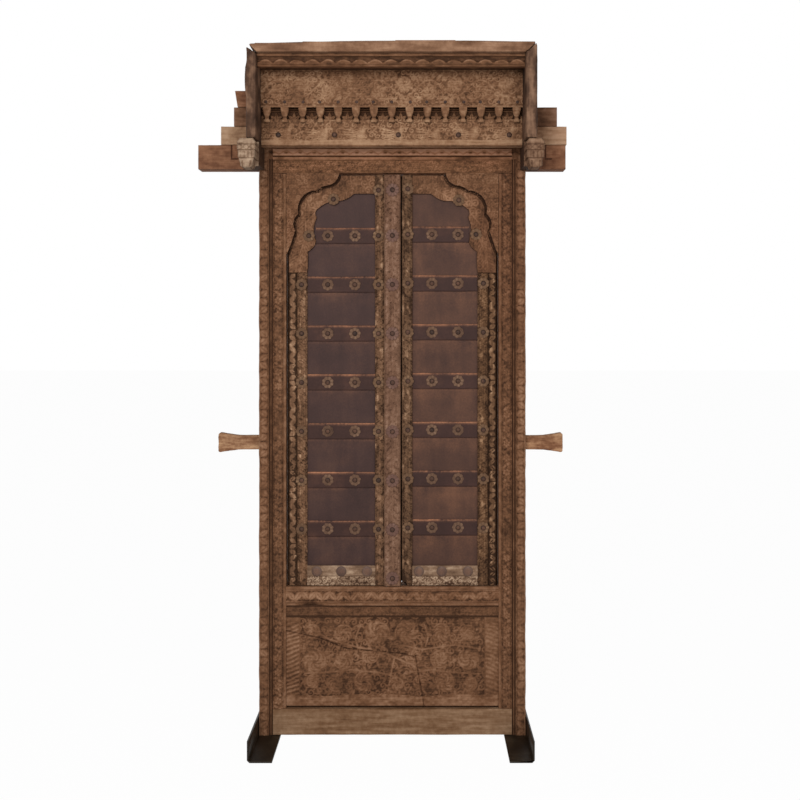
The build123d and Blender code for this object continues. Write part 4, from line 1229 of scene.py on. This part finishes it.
def feathered(side, line, seed):
    """Height of a stem along a line with slanting barbs on both sides, mirrored by side."""

    def height(x, z):
        along = np.zeros_like(x)
        far = np.full_like(x, 1e3)
        run = 0
        for (x0, z0), (x1, z1) in zip(line, line[1:]):
            dx, dz = x1 - x0, z1 - z0
            length = math.hypot(dx, dz)
            share = np.clip(((side * x - x0) * dx + (z - z0) * dz) / length**2, 0, 1)
            gap = np.hypot(side * x - x0 - share * dx, z - z0 - share * dz)
            sign = np.sign((side * x - x0) * dz - (z - z0) * dx)
            nearer = gap < np.abs(far)
            far = np.where(nearer, gap * sign, far)
            along = np.where(nearer, run + share * length, along)
            run += length
        barbs = 0.5 + 0.5 * np.cos((along + 0.9 * np.abs(far)) * 2 * math.pi / 10)
        wings = 0.3 + 0.4 * barbs * (np.abs(far) > 4) * (np.abs(far) < 20)
        return np.maximum.reduce([0.8 * ridge(far, 3.4), wings, 0.75 * foliage(x, z, 24, seed, 0.13)])

    return height


def spandrel_foliage(x, z):
    """Height of the foliage of a spandrel, never down to the deepest ground."""
    return np.maximum(0.35, foliage(x, z, 17, 111, 0.15))


arch_line = [(292, 1400), (284, 1440), (262, 1500), (262, 1545), (238, 1572), (205, 1600),
             (170, 1622), (120, 1652)]
for side, hand in ((-1, "left"), (1, "right")):
    piece = carve_copy(f"{hand}_spandrel_carved", f"{hand}_spandrel", 2.1, spandrel_foliage, 2.4, 112,
                       0.24, 0.36)
    dress(piece, carved_across, "frame", "carved_wood", f"{hand}_spandrel")
    piece = carve_copy(f"{hand}_arch_carved", f"{hand}_arch_piece", 2.2,
                       feathered(side, arch_line, 121), 2.2, 122)
    dress(piece, arch_wood, f"{hand}_leaf", "leaf_wood", f"{hand}_arch_piece")

# %% [markdown]
# ## Boards of the hood
#
# The three boards are remeshed copies with their edges worn in by a cloudy amount. The top
# board has weathered paler than the rest.

# %% Hood boards


def worn_copy(name, node, cell, wear, size, seed, level=0.5, flecks=0.3):
    """Remeshed copy of a solid, pulled in by a cloudy amount all over."""
    piece = remeshed(name, node, cell)
    place, normal = points_of(piece)
    dent = worn(*place, size, seed)
    set_points(piece, place - normal * wear * (1 + dent) / 2, level + flecks * dent)
    return piece


top = worn_copy("hood_top_worn", "hood_top_board", 4, 0.8, (60, 40, 14), 131)
dress(top, top_wood, "frame", "carved_wood", "hood_top_board")
for hand, seed in (("left", 132), ("right", 135)):
    board = worn_copy(f"hood_{hand}_worn", f"hood_{hand}_board", 4, 1.4, (14, 60, 40), seed, 0.5, 0.45)
    dress(board, hood_wood, "frame", "carved_wood", f"hood_{hand}_board")

# %% [markdown]
# ## Lintel beam and stepped timbers
#
# These are rough-sawn timbers with rounded worn edges, redder and smoother than the carved
# parts. Each is a tube of grid faces pulled in by long shallow waves.

# %% Beam and stepped timbers


def rough_beam(name, node, seed, material, slant=0):
    """Worn timber between the corners of a node, with its left end cut at a slant."""
    low, high = reach(node)
    bottom = max(low[2], beam_bottom)
    foot = bottom + (3 if node == "lintel_beam" else 0)
    section = eased([(foot, high[1]), (foot, low[1]), (high[2], low[1]), (high[2], high[1])], 3)
    x, y, z = timber("X", section, low[0], high[0], 3.6, 16, low[1] + 6)
    waves = worn(x, y, z, (150, 30, 18), seed)
    fine = cloudy(x, y, z, (16, 9, 7), seed + 3)
    y = pull_in(y, low[1], high[1], 1.3 * (1 + waves) + 0.4 * (1 + fine))
    z = pull_in(z, foot, high[2], 0.3 * (1 + waves) + 0.2 * (1 + fine))
    # Painted light: past the hood the ends of the timbers are coloured lighter than the parts beside it,
    # which stand in its shade.
    painted_end_light = np.clip((np.abs(x) - 450) / 45, 0, 1)
    relief = 0.5 + 0.3 * waves + 0.14 * fine + (0.1 if node == "lintel_beam" else 0.34) * painted_end_light
    if node == "lintel_beam":
        seats = []
        for near, far in ((-486, -468), (462, 480)):
            corner_row = [(near, high[2]), (near, bottom + 34), (far, bottom + 34)]
            seats.append(stem(x, z, corner_row, 2.8))
        seat = np.maximum.reduce(seats) * (y < low[1] + 6)
        y = y + 2 * seat
        # A dark strip just right of the left finial is the painted shadow of the bracket arm on the
        # beam.
        smoke_and_painted_shadow = np.exp(-(((x + 413) / 9) ** 2)) * (y < low[1] + 6)
        relief = relief * (1 - 0.95 * seat) - 0.5 * smoke_and_painted_shadow
        z = np.where((np.abs(x) < inner_x - 2) & (z < foot + 2), shoulder_bottom, z)
    x = x + slant * np.clip((low[0] + 60 - x) / 60, 0, 1) * (high[2] - z) / (high[2] - bottom)
    finish_timber(name, x, y, z, relief, material, "frame", "beam_wood", node)


rough_beam("lintel_beam_worn", "lintel_beam", 141, beam_wood)
for name, seed, material, slant in (("lower_course", 143, beam_tan, 0),
                                    ("middle_course", 146, beam_dark, 0),
                                    ("upper_course", 149, beam_wood, 8)):
    rough_beam(f"{name}_worn", name, seed, material, slant)

# %% [markdown]
# ## Wall lugs and bracket arms
#
# The lugs are remeshed copies with rounded worn edges. The arms are too, with the rings, the
# ribs and the crossed band of their finials cut in by depth and level.

# %% Wall lugs
for hand, seed in (("left", 151), ("right", 155)):
    lug = worn_copy(f"{hand}_wall_lug_worn", f"{hand}_wall_lug", 2.6, 2.4, (40, 14, 9), seed, 0.55, 0.35)
    dress(lug, lug_wood, "frame", "beam_wood", f"{hand}_wall_lug")

# %% Bracket arms


# Rings of the finials, as (level from the top, half width, depth)
ring_cuts = ((18, 1.3, 1), (35, 1.4, 1), (58, 1.4, 1), (15, 1, 0.5))


def groove(level, place, half):
    """Cut of a given half width at a level, 1 deep in its middle."""
    return np.exp(-(((place - level) / half) ** 2))


def arm(name, node, seed, material):
    """Bracket arm with its carved finial."""
    piece = remeshed(name, node, 2.3)
    (x0, y0, z0), (x1, _, z1) = reach(node)
    place, normal = points_of(piece)
    x, y, z = place
    ahead = np.clip((-140 - y) / 6, 0, 1)
    middle, half = (x0 + x1) / 2, (x1 - x0) / 2
    across = np.where(np.abs(normal[0]) > 0.6, y - y0 - half, x - middle) / half
    cuts = sum(weight * groove(z1 - down, z, wide) for down, wide, weight in ring_cuts)
    cross_level = (z - z1 + 26) / 8
    crossed = np.abs(np.abs(cross_level) - np.abs(((across * 1.5) % 1) * 2 - 1)) < 0.28
    cross = crossed & (np.abs(cross_level) < 1)
    rib_band = (z < z1 - 37) & (z > z1 - 56)
    ribs = np.where(rib_band, (np.cos(across * math.pi * 5) < -0.4), 0)
    petals = (z < z0 + 22) & (np.cos(across * math.pi * 2.4) < -0.75)
    depth = ahead * (2 * np.clip(cuts, 0, 1) + cross + ribs + 1.5 * petals)
    dent = worn(*place, (14, 14, 9), seed)
    place = place - normal * (depth + 0.6 * (1 + dent))
    place[2] += 9 * (1 - ahead) * np.clip((z0 + 30 - z) / 30, 0, 1)
    relief = 0.12 + ahead * (0.46 - 0.3 * np.clip(depth / 2.2, 0, 1)) + 0.2 * dent
    # Painted shade: downward faces of the arm behind the finial get relief 0, the darkest colour.
    relief = np.where((normal[2] < -0.5) & (ahead < 0.5), 0, relief)
    set_points(piece, place, relief)
    dress(piece, material, "frame", "finial_wood", node)


arm("left_arm_carved", "left_bracket_arm", 161, finial_pale)
arm("right_arm_carved", "right_bracket_arm", 165, finial_brown)

# %% [markdown]
# ## Stiles and rails of the leaves
#
# The hanging stiles have a narrow carved strip, a groove and a carved face, and a rounded heel
# that turns beside the jamb. The meeting stiles and the batten are carved down their length. The
# bottom rails keep the palest wood, plain above for the flat nails and carved below.

# %% Hanging stiles
leaf_foot, leaf_head = reach("batten")[0][2], reach("batten")[1][2]
stile_inner = reach("right_iron_sheet")[1][0]
stile_edge, sheet_front = reach("right_arch_piece")[1][0], reach("right_arch_piece")[1][1]
arch_foot = reach("right_arch_piece")[0][2]
stile_front, leaf_back = reach("left_meeting_stile")[0][1], reach("left_meeting_stile")[1][1]
heel_x = reach("right_hanging_stile")[1][0]
pivot_x, pivot_y, pivot_radius = stile_edge - 15, leaf_back - 14, 12
heel_reach = 13.5


def with_pivots(piece, side):
    """Adds the two round wooden pivots to a stile."""
    low, high = reach("left_hanging_stile")
    for bottom, top in ((low[2], leaf_foot + 4), (leaf_head - 4, high[2])):
        bpy.ops.mesh.primitive_cylinder_add(
            vertices=40, radius=pivot_radius * MM, depth=(top - bottom) * MM,
            location=(middle_x + side * pivot_x * MM, pivot_y * MM, (top + bottom) / 2 * MM))
        pin = bpy.context.object
        write_relief(pin, np.full(len(pin.data.vertices), 0.3))
        bpy.ops.object.transform_apply(location=True, rotation=True, scale=True)
        select_only(piece, pin)
        bpy.ops.object.join()


def hanging_stile(hand, side, seed, material):
    """Hanging stile of one leaf."""
    strip = stile_edge - 23
    section = [(stile_inner, leaf_back), (stile_inner, stile_front), (strip - 3, stile_front),
               (strip - 3, stile_front + 5), (strip, stile_front + 5), (strip, stile_front + 2),
               (stile_edge - 1, stile_front + 2), (stile_edge, stile_front + 4),
               (stile_edge, pivot_y - heel_reach),
               (heel_x - 1.3, pivot_y - 7.2), (heel_x, pivot_y), (heel_x - 1.3, pivot_y + 7.2),
               (stile_edge, pivot_y + heel_reach)]
    x, y, z = timber("Z", section, leaf_foot, leaf_head, 2.1, 13, stile_front + 6)
    in_strip = (x > strip + 0.5) & (y < stile_front + 4)
    in_face = (x < strip - 3.5) & (y < stile_front + 1)
    strip_cut = slanted_leaves(z, x - (strip + stile_edge) / 2, 17, 20)
    face_cut = np.maximum(flower_row(z, x - (stile_inner + strip - 3) / 2, 33, 12, 6),
                          0.7 * foliage(x, z, 12, seed, 0.12))
    cut = np.where(in_strip, worked(x, z, strip_cut, seed + 1), 0)
    cut = np.where(in_face, worked(x, z, face_cut, seed + 2), cut)
    dent = worn(x, y, z, (12, 9, 40), seed + 3)
    carved_part = in_strip | in_face
    rough = np.where(y < stile_front + 6, 0.4 * (1 + dent), 0)
    y = y + np.where(carved_part, 2.5 * (1 - cut), 0) + rough
    y = np.where(z > arch_foot, np.maximum(y, sheet_front + 0.5), y)
    fleck = 0.35 * np.clip(cloudy(x, 0 * x, z, (7, 9, 16), seed + 5) * 2 - 0.7, 0, 1)
    relief = np.where(in_strip, 0.3 + 0.2 * cut, np.where(carved_part, 0.18 + 0.44 * cut, 0.3))
    relief = relief + 0.16 * dent + fleck
    relief = np.where((y > stile_front + 4) & (y < sheet_front), 0.05, relief)
    piece = swept_grid(f"{hand}_hanging_stile_carved", np.stack([side * x, y, z], axis=-1), relief)
    with_pivots(piece, side)
    dress(piece, material, f"{hand}_leaf", "leaf_wood", f"{hand}_hanging_stile")


hanging_stile("left", -1, 201, leaf_wood)
hanging_stile("right", 1, 211, shaded_leaf_wood)

# %% Meeting stiles
lip_bevel = 0.36


def meeting_stile(hand, root, edge, lip, seed, material):
    """Meeting stile of one leaf, with the bevelled lip at its back."""
    section = [(root, leaf_back), (root, stile_front), (edge, stile_front), (edge, pivot_y),
               (lip, pivot_y), (lip + lip_bevel, leaf_back)]
    x, y, z = timber("Z", section, leaf_foot, leaf_head, 2.3, 13, stile_front + 1)
    near = np.sign(edge - root)
    middle = root + near * 14
    face = (y < stile_front + 1) & (np.abs(x - middle) < 13)
    drawn = np.maximum(flower_row(z, x - middle, 27, 11, 6), 0.7 * foliage(x, z, 12, seed, 0.12))
    cut = np.where(face, worked(x, z, drawn, seed + 1), 0)
    dent = worn(x, y, z, (12, 9, 40), seed + 2)
    y = y + np.where(face, 2.2 * (1 - cut), 0) + np.where(y < stile_front + 3, 0.4 * (1 + dent), 0)
    if hand == "right":
        lost = (np.abs(x - edge) < 15) & (z < leaf_foot + 9)
        z = np.where(lost, leaf_foot + 9, z)
    fleck = 0.35 * np.clip(cloudy(x, 0 * x, z, (7, 9, 16), seed + 5) * 2 - 0.7, 0, 1)
    relief = np.where(face, 0.14 + 0.44 * cut, 0.26) + 0.16 * dent + fleck
    finish_timber(f"{hand}_meeting_stile_carved", x, y, z, relief, material, f"{hand}_leaf",
                  "leaf_wood", f"{hand}_meeting_stile")


left_low, left_high = reach("left_meeting_stile")
right_low, right_high = reach("right_meeting_stile")
batten_low, batten_high = reach("batten")
meeting_stile("left", left_low[0], batten_high[0], left_high[0] - lip_bevel, 221, leaf_wood)
meeting_stile("right", right_high[0], batten_high[0] + 4.5, right_low[0], 231, shaded_leaf_wood)

# %% Batten
half_batten, batten_front = batten_high[0], batten_low[1]
batten_section = [(-half_batten, stile_front), (-half_batten, batten_front + 3),
                  (3 - half_batten, batten_front), (half_batten - 3, batten_front),
                  (half_batten, batten_front + 3), (half_batten, stile_front)]
x, y, z = timber("Z", batten_section, leaf_foot, leaf_head, 2.1)
rib_pitch = 19
to_rib = (z + 0.85 * np.abs(x)) % rib_pitch - rib_pitch / 2
rib = ridge(to_rib, 6) * (np.abs(x) < 19) * (np.abs(x) > 2.5)
rib = rib * (1 - 0.4 * np.exp(-((to_rib / 1.6) ** 2)))
drawn = np.maximum.reduce([0.7 * rib, 0.7 * ridge(x, 2.4), 0.8 * foliage(x, z, 13, 241, 0.13)])
cut = worked(x, z, drawn, 242)
dent = worn(x, y, z, (12, 9, 50), 243)
face = (y < batten_front + 2) & (np.abs(x) < 20)
y = y + np.where(face, 2.0 * (1 - cut), 0) + np.where(y < stile_front - 1, 0.4 * (1 + dent), 0)
relief = np.where(face, 0.24 + 0.46 * cut, 0.42) + 0.16 * dent
finish_timber("batten_carved", x, y, z, relief, batten_wood, "left_leaf", "leaf_wood", "batten")

# %% Bottom rails of the leaves
for hand, seed in (("left", 251), ("right", 261)):
    low, high = reach(f"{hand}_leaf_bottom_rail")
    split = low[2] + 28
    section = [(low[2], high[1]), (low[2], low[1]), (split - 0.3, low[1]), (split, low[1] + 2),
               (split + 1.7, low[1] + 2), (split + 2, low[1]), (high[2] - 1, low[1]),
               (high[2], low[1] + 1), (high[2], high[1])]
    x, y, z = timber("X", section, low[0], high[0], 2.1, 13, low[1] + 2.5)
    carved_part = (z < split - 1) & (y < low[1] + 1)
    cut = np.where(carved_part, worked(x, z, foliage(x, z, 15, seed, 0.12), seed + 1), 0)
    dent = worn(x, y, z, (40, 9, 9), seed + 2)
    y = y + np.where(carved_part, 2.4 * (1 - cut), 0) + np.where(y < low[1] + 3, 0.4 * (1 + dent), 0)
    relief = np.where(carved_part, 0.26 + 0.5 * cut, 0.46) + 0.22 * dent
    finish_timber(f"{hand}_leaf_rail_carved", x, y, z, relief, pale_rail_wood, f"{hand}_leaf",
                  "leaf_wood", f"{hand}_leaf_bottom_rail")

# %% [markdown]
# ## Iron sheets and straps
#
# The sheets are thin grids with shallow dents. The straps lie over them, one at each row of
# nails, with slightly wavy edges and a painted highlight along the upper edge.

# %% Iron sheets
strap_numbers = range(1, 8)
for hand, seed, iron, washed, stained in (("left", 271, sheet_iron, 0.12, 0.16),
                                          ("right", 281, warm_iron, 0.3, 0.3)):
    low, high = reach(f"{hand}_iron_sheet")
    section = [(low[0], high[1]), (low[0], low[1]), (high[0], low[1]), (high[0], high[1])]
    x, y, z = timber("Z", section, low[2], high[2], 6, 12, low[1] + 1, along_step=3)
    dent = worn(x, y, z, (70, 9, 70), seed)
    feet = [reach(f"{hand}_strap_{number}")[0][2] for number in strap_numbers]
    under = np.max([np.exp(-np.abs(z - foot + 3) / 4) for foot in feet], axis=0)
    wash = np.max([np.exp(-(((z - foot + 22) / 16) ** 2)) for foot in feet], axis=0)
    blotch = np.clip(worn(x, y, z, (60, 9, 50), seed + 2) * 1.6 - 0.2, 0, 1)
    y = y + np.where(y < low[1] + 1, 0.5 * (1 + dent), 0)
    rust_and_highlight_share = 0.5 * under + washed * wash + stained * blotch
    finish_timber(f"{hand}_sheet_dented", x, y, z, rust_and_highlight_share, iron,
                  f"{hand}_leaf", "sheet_iron", f"{hand}_iron_sheet")

# %% Straps
for hand, number in itertools.product(("left", "right"), strap_numbers):
    low, high = reach(f"{hand}_strap_{number}")
    section = [(low[2], high[1]), (low[2], low[1] + 0.8), (low[2] + 1.4, low[1]),
               (high[2] - 1.4, low[1]), (high[2], low[1] + 0.8), (high[2], high[1])]
    seed = 290 + number + (20 if hand == "right" else 0)
    under_arch = 12 if number == 1 else 0
    ends = (low[0] - under_arch, high[0]) if hand == "left" else (low[0], high[0] + under_arch)
    x, y, z = timber("X", section, *ends, 4.2, 12, high[1] - 0.5)
    dent = worn(x, y, z, (40, 9, 30), seed)
    z = pull_in(z, low[2], high[2], 0.9 * (1 + cloudy(x, 0 * x, 0 * z, (36, 9, 9), seed + 40)))
    y = y + np.where(y < high[1] - 0.5, 0.35 * (1 + dent), 0)
    # Painted highlight: the upper edge of each strap gets the pale rust colour, for the bevel that
    # catches the light.
    painted_top_highlight = np.exp(-(((high[2] - z) / 4.5) ** 2))
    rust_and_highlight_share = 1.4 * painted_top_highlight + 0.08 * np.clip(dent, 0, 1)
    finish_timber(f"{hand}_strap_{number}_worn", x, y, z, rust_and_highlight_share, strap_iron, f"{hand}_leaf",
                  "sheet_iron", f"{hand}_strap_{number}")

# %% [markdown]
# ## Nails and petalled washers
#
# Each washer is a disc hammered into petals, with a forged nail through it. A washer and a nail
# are turned once, as a grid that is wound round an axis, and copied to every place.

# %% Turned masters


def strap_levels(hand):
    """Levels of the middles of a leaf's straps, from the top one down."""
    return [sum(corner[2] for corner in reach(f"{hand}_strap_{n}")) / 2 for n in strap_numbers]


def turned(name, profile, radius, sides, petals=0, turn_depth=0.0):
    """Round head facing the front: profile of (share of the radius, height), with petals cut in."""
    angle = np.linspace(0, 2 * math.pi, sides + 1)
    share, height = np.array(profile).T
    wave = np.abs(np.cos(petals / 2 * angle)) if petals else np.ones_like(angle)
    rim = 1 - 0.13 * (1 - wave)
    radii = np.outer(share * radius, np.ones_like(angle)) * np.where(share[:, None] > 0.7, rim, 1)
    lift = np.outer(height, np.ones_like(angle))
    lift = lift - turn_depth * (1 - wave) * ((share > 0.5) & (height > 1.5))[:, None]
    places = np.stack([radii * np.cos(angle), -lift, radii * np.sin(angle)], axis=-1)
    places[:, :, 0] -= middle_x / MM
    relief = np.where(share[:, None] > 0.55, 0.9 * (1 - wave), 0.55) + 0 * radii
    return swept_grid(name, places, relief)


def copies(name, master, spots, seed, turned_by=6.28, tilt=0.04):
    """One piece with a copy of the master at each place, each turned and tilted by its own angle."""
    random = np.random.default_rng(seed)
    twins = []
    for spot in spots:
        twin = bpy.data.objects.new(name, master.data.copy())
        twin.location = (middle_x + spot[0] * MM, spot[1] * MM, spot[2] * MM)
        twin.rotation_euler = [random.uniform(low, high)
                               for low, high in ((-tilt, tilt), (0, turned_by), (-tilt, tilt))]
        bpy.context.scene.collection.objects.link(twin)
        twins.append(twin)
    select_only(*twins)
    bpy.ops.object.join()
    bpy.ops.object.transform_apply(location=True, rotation=True, scale=True)
    twins[0].name = twins[0].data.name = name
    return twins[0]


washer_profile = [(0, 0.3), (1, 0.3), (1, 1.3), (0.92, 2.6), (0.78, 3.3), (0.6, 2.5), (0.44, 3.0),
                  (0, 3.0)]
nail_profile = [(0, 0), (1, 0), (1, 1), (0.9, 2.2), (0.55, 3.4), (0.2, 3.9), (0, 3.9)]
flat_profile = [(0, 0), (1, 0), (1, 1.2), (0.88, 2.2), (0.4, 2.9), (0, 3.0)]
washer = turned("washer", washer_profile, 18, 40, 8, 1.0)
big_washer = turned("big_washer", washer_profile, 20.5, 40, 10, 0.9)
nail = turned("nail", nail_profile, 7.6, 14)
flat_nail = turned("flat_nail", flat_profile, 15.5, 20)
small_nail = turned("small_nail", [(0, 0), (1, 0), (0.9, 1.4), (0, 2.2)], 4.6, 10)
print("turned", washer.name, nail.name)

# %% Rosettes of the leaves
strap_front = reach("left_strap_2")[0][1]
arch_front = reach("right_arch_piece")[0][1]
top_nail_rise = 137
for hand, side, seed in (("left", -1, 311), ("right", 1, 321)):
    levels = strap_levels(hand)
    low, high = reach(f"{hand}_iron_sheet")
    inner, outer = sorted((abs(low[0]), abs(high[0])))
    width = outer - inner
    stile_line = inner - (10 if side < 0 else 13.5)
    spots = [(side * (inner + width * share), strap_front, z) for z in levels for share in (0.3, 0.7)]
    spots += [(side * stile_line, stile_front, z) for z in levels]
    spots += [(side * (outer + 17), stile_front, z) for z in levels[2:]]
    spots += [(side * (outer - 5), arch_front, levels[0]), (side * (outer + 17), arch_front, levels[1]),
              (side * stile_line, arch_front, levels[0] + top_nail_rise),
              (side * (178 if side < 0 else 200), arch_front, head_bottom - (78 if side < 0 else 81))]
    washers = copies(f"{hand}_washers", washer, spots[:14], seed)
    dress(washers, washer_iron, f"{hand}_leaf", "nail_iron", f"{hand}_rosettes")
    washers = copies(f"{hand}_stile_washers", washer, spots[14:], seed + 3)
    dress(washers, stile_washer_iron, f"{hand}_leaf", "nail_iron")
    nails = copies(f"{hand}_nails", nail, [(a, b - 3, c) for a, b, c in spots], seed + 1)
    dress(nails, nail_iron, f"{hand}_leaf", "nail_iron")
    shares = (0.12, 0.5, 0.86) if side < 0 else (0.10, 0.45, 0.85)
    flat_spots = [(side * (inner + width * share), stile_front, leaf_foot + 42.5) for share in shares]
    flats = copies(f"{hand}_flat_nails", flat_nail, flat_spots, seed + 2)
    dress(flats, flat_nail_iron, f"{hand}_leaf", "nail_iron")

# %% Rosettes of the batten and nails of the hood
levels = strap_levels("left")
levels = [levels[0] + top_nail_rise, *levels, leaf_foot + 23.6]
batten_spots = [(0, batten_front, z) for z in levels]
washers = copies("batten_washers", big_washer, batten_spots, 331)
dress(washers, purple_iron, "left_leaf", "nail_iron", "batten_rosettes")
nails = copies("batten_nails", nail, [(a, b - 3, c) for a, b, c in batten_spots], 332)
dress(nails, nail_iron, "left_leaf", "nail_iron")

hood_base = rail_high[2]
frieze_spots = [(share * hood_half, lower_low[1] + 0.5, hood_base + 26)
                for share in (-0.87, -0.44, 0.05, 0.51, 0.9)]
large = copies("hood_nails_forged", nail, frieze_spots, 341)
dress(large, nail_iron, "frame", "nail_iron", "hood_nails")
pendant_x = [-hood_half + pendant_margin + n * pendant_pitch for n in range(pendant_count)]
peg_spots = [(px + 2 * (n % 3 - 1), upper_low[1] + 1.5, upper_low[2] + 5)
             for n, px in enumerate(pendant_x)]
pegs = copies("pendant_nails", small_nail, peg_spots, 342)
dress(pegs, nail_iron, "frame", "nail_iron")

# %% [markdown]
# ## Pendants
#
# A pendant is a peg: a square block at the top, a round belly, a thin neck and a small foot.
# One is made from a grid wound round its axis, going from a square to a round section, and
# fifteen copies stand in a row.

# %% Pendants
pendant_low, pendant_high = reach("pendants")
pendant_top = frieze_foot
peg_length = pendant_top - pendant_low[2]
peg_shape = [(0.0, 0.1), (0.0, 12.2), (2, 12.4), (9, 12.2), (16, 11.8), (21, 11), (26, 9.6), (30, 8),
             (33, 6.8), (35.5, 6), (38, 6.2), (41, 7), (44, 8.2), (47, 9.4), (50, 9.8), (52.5, 9.2),
             (54, 7.6), (54, 0.1)]
peg_drop, half_width = np.array(peg_shape).T[:, :, None]
angle = np.linspace(0, 2 * math.pi, 33)
squareness = np.where(peg_drop < 12, 0.22, 0.75)
cos_a, sin_a = np.cos(angle)[None, :], np.sin(angle)[None, :]
px = half_width * np.sign(cos_a) * np.abs(cos_a) ** squareness
py = half_width * 0.78 * np.sign(sin_a) * np.abs(sin_a) ** squareness
pz = -peg_drop * peg_length / peg_drop.max() + 0 * px
peg_relief = np.where(peg_drop > 42, 0.54, 0.44) + 0 * px
peg_relief = np.where(np.abs(peg_drop - 36) < 2, 0.16, peg_relief)
peg = swept_grid("peg", np.stack([px - middle_x / MM, py, pz], axis=-1), peg_relief)
peg_depth = (pendant_low[1] + pendant_high[1]) / 2
pendant_spots = [(place, peg_depth, pendant_top) for place in pendant_x]
pendants = copies("pendants_turned", peg, pendant_spots, 350, turned_by=0, tilt=0)
place, normal = points_of(pendants)
relief = np.empty(place.shape[1])
pendants.data.attributes["relief"].data.foreach_get("value", relief)
pendants.data.attributes.remove(pendants.data.attributes["relief"])
dent = worn(*place, (9, 9, 12), 351)
set_points(pendants, place - normal * 0.45 * (1 + dent), relief + 0.22 * dent)
dress(pendants, frieze_wood, "frame", "carved_wood", "pendants", angle=40)

# %% [markdown]
# ## Feet and hidden boards
#
# The feet are new bent steel: a copy of each solid with softly rounded edges. The boards behind
# the iron and the soffit inside the hood keep their measured shape and only get their wood.

# %% Feet and bolts


def bevelled_copy(name, node, width):
    """Copy of a solid with flat faces joined and its edges rounded."""
    piece = merged_copy(name, node)
    bpy.ops.object.mode_set(mode="EDIT")
    bpy.ops.mesh.select_all(action="SELECT")
    bpy.ops.mesh.dissolve_limited(angle_limit=math.radians(1))
    bpy.ops.object.mode_set(mode="OBJECT")
    modify(piece, "BEVEL", width=width * MM, segments=3, limit_method="ANGLE")
    return piece


for hand in ("left", "right"):
    dress(bevelled_copy(f"{hand}_foot_bent", f"{hand}_foot", 1.2), black_steel, "frame", "black_steel",
          f"{hand}_foot", angle=30)
dress(bevelled_copy("foot_screws_forged", "foot_screws", 0.7), black_steel, "frame", "black_steel",
      "foot_screws", angle=30)

# %% Boards that keep their measured shape
for name in ("left_back_boards", "right_back_boards", "hood_soffit"):
    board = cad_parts[name]
    board.data.materials.clear()
    board.data.materials.append(board_wood)
for master in (washer, big_washer, nail, flat_nail, small_nail, peg):
    bpy.data.objects.remove(master)
print("triangles in all", sum(made))

# %% Finish
bpy.context.view_layer.update()
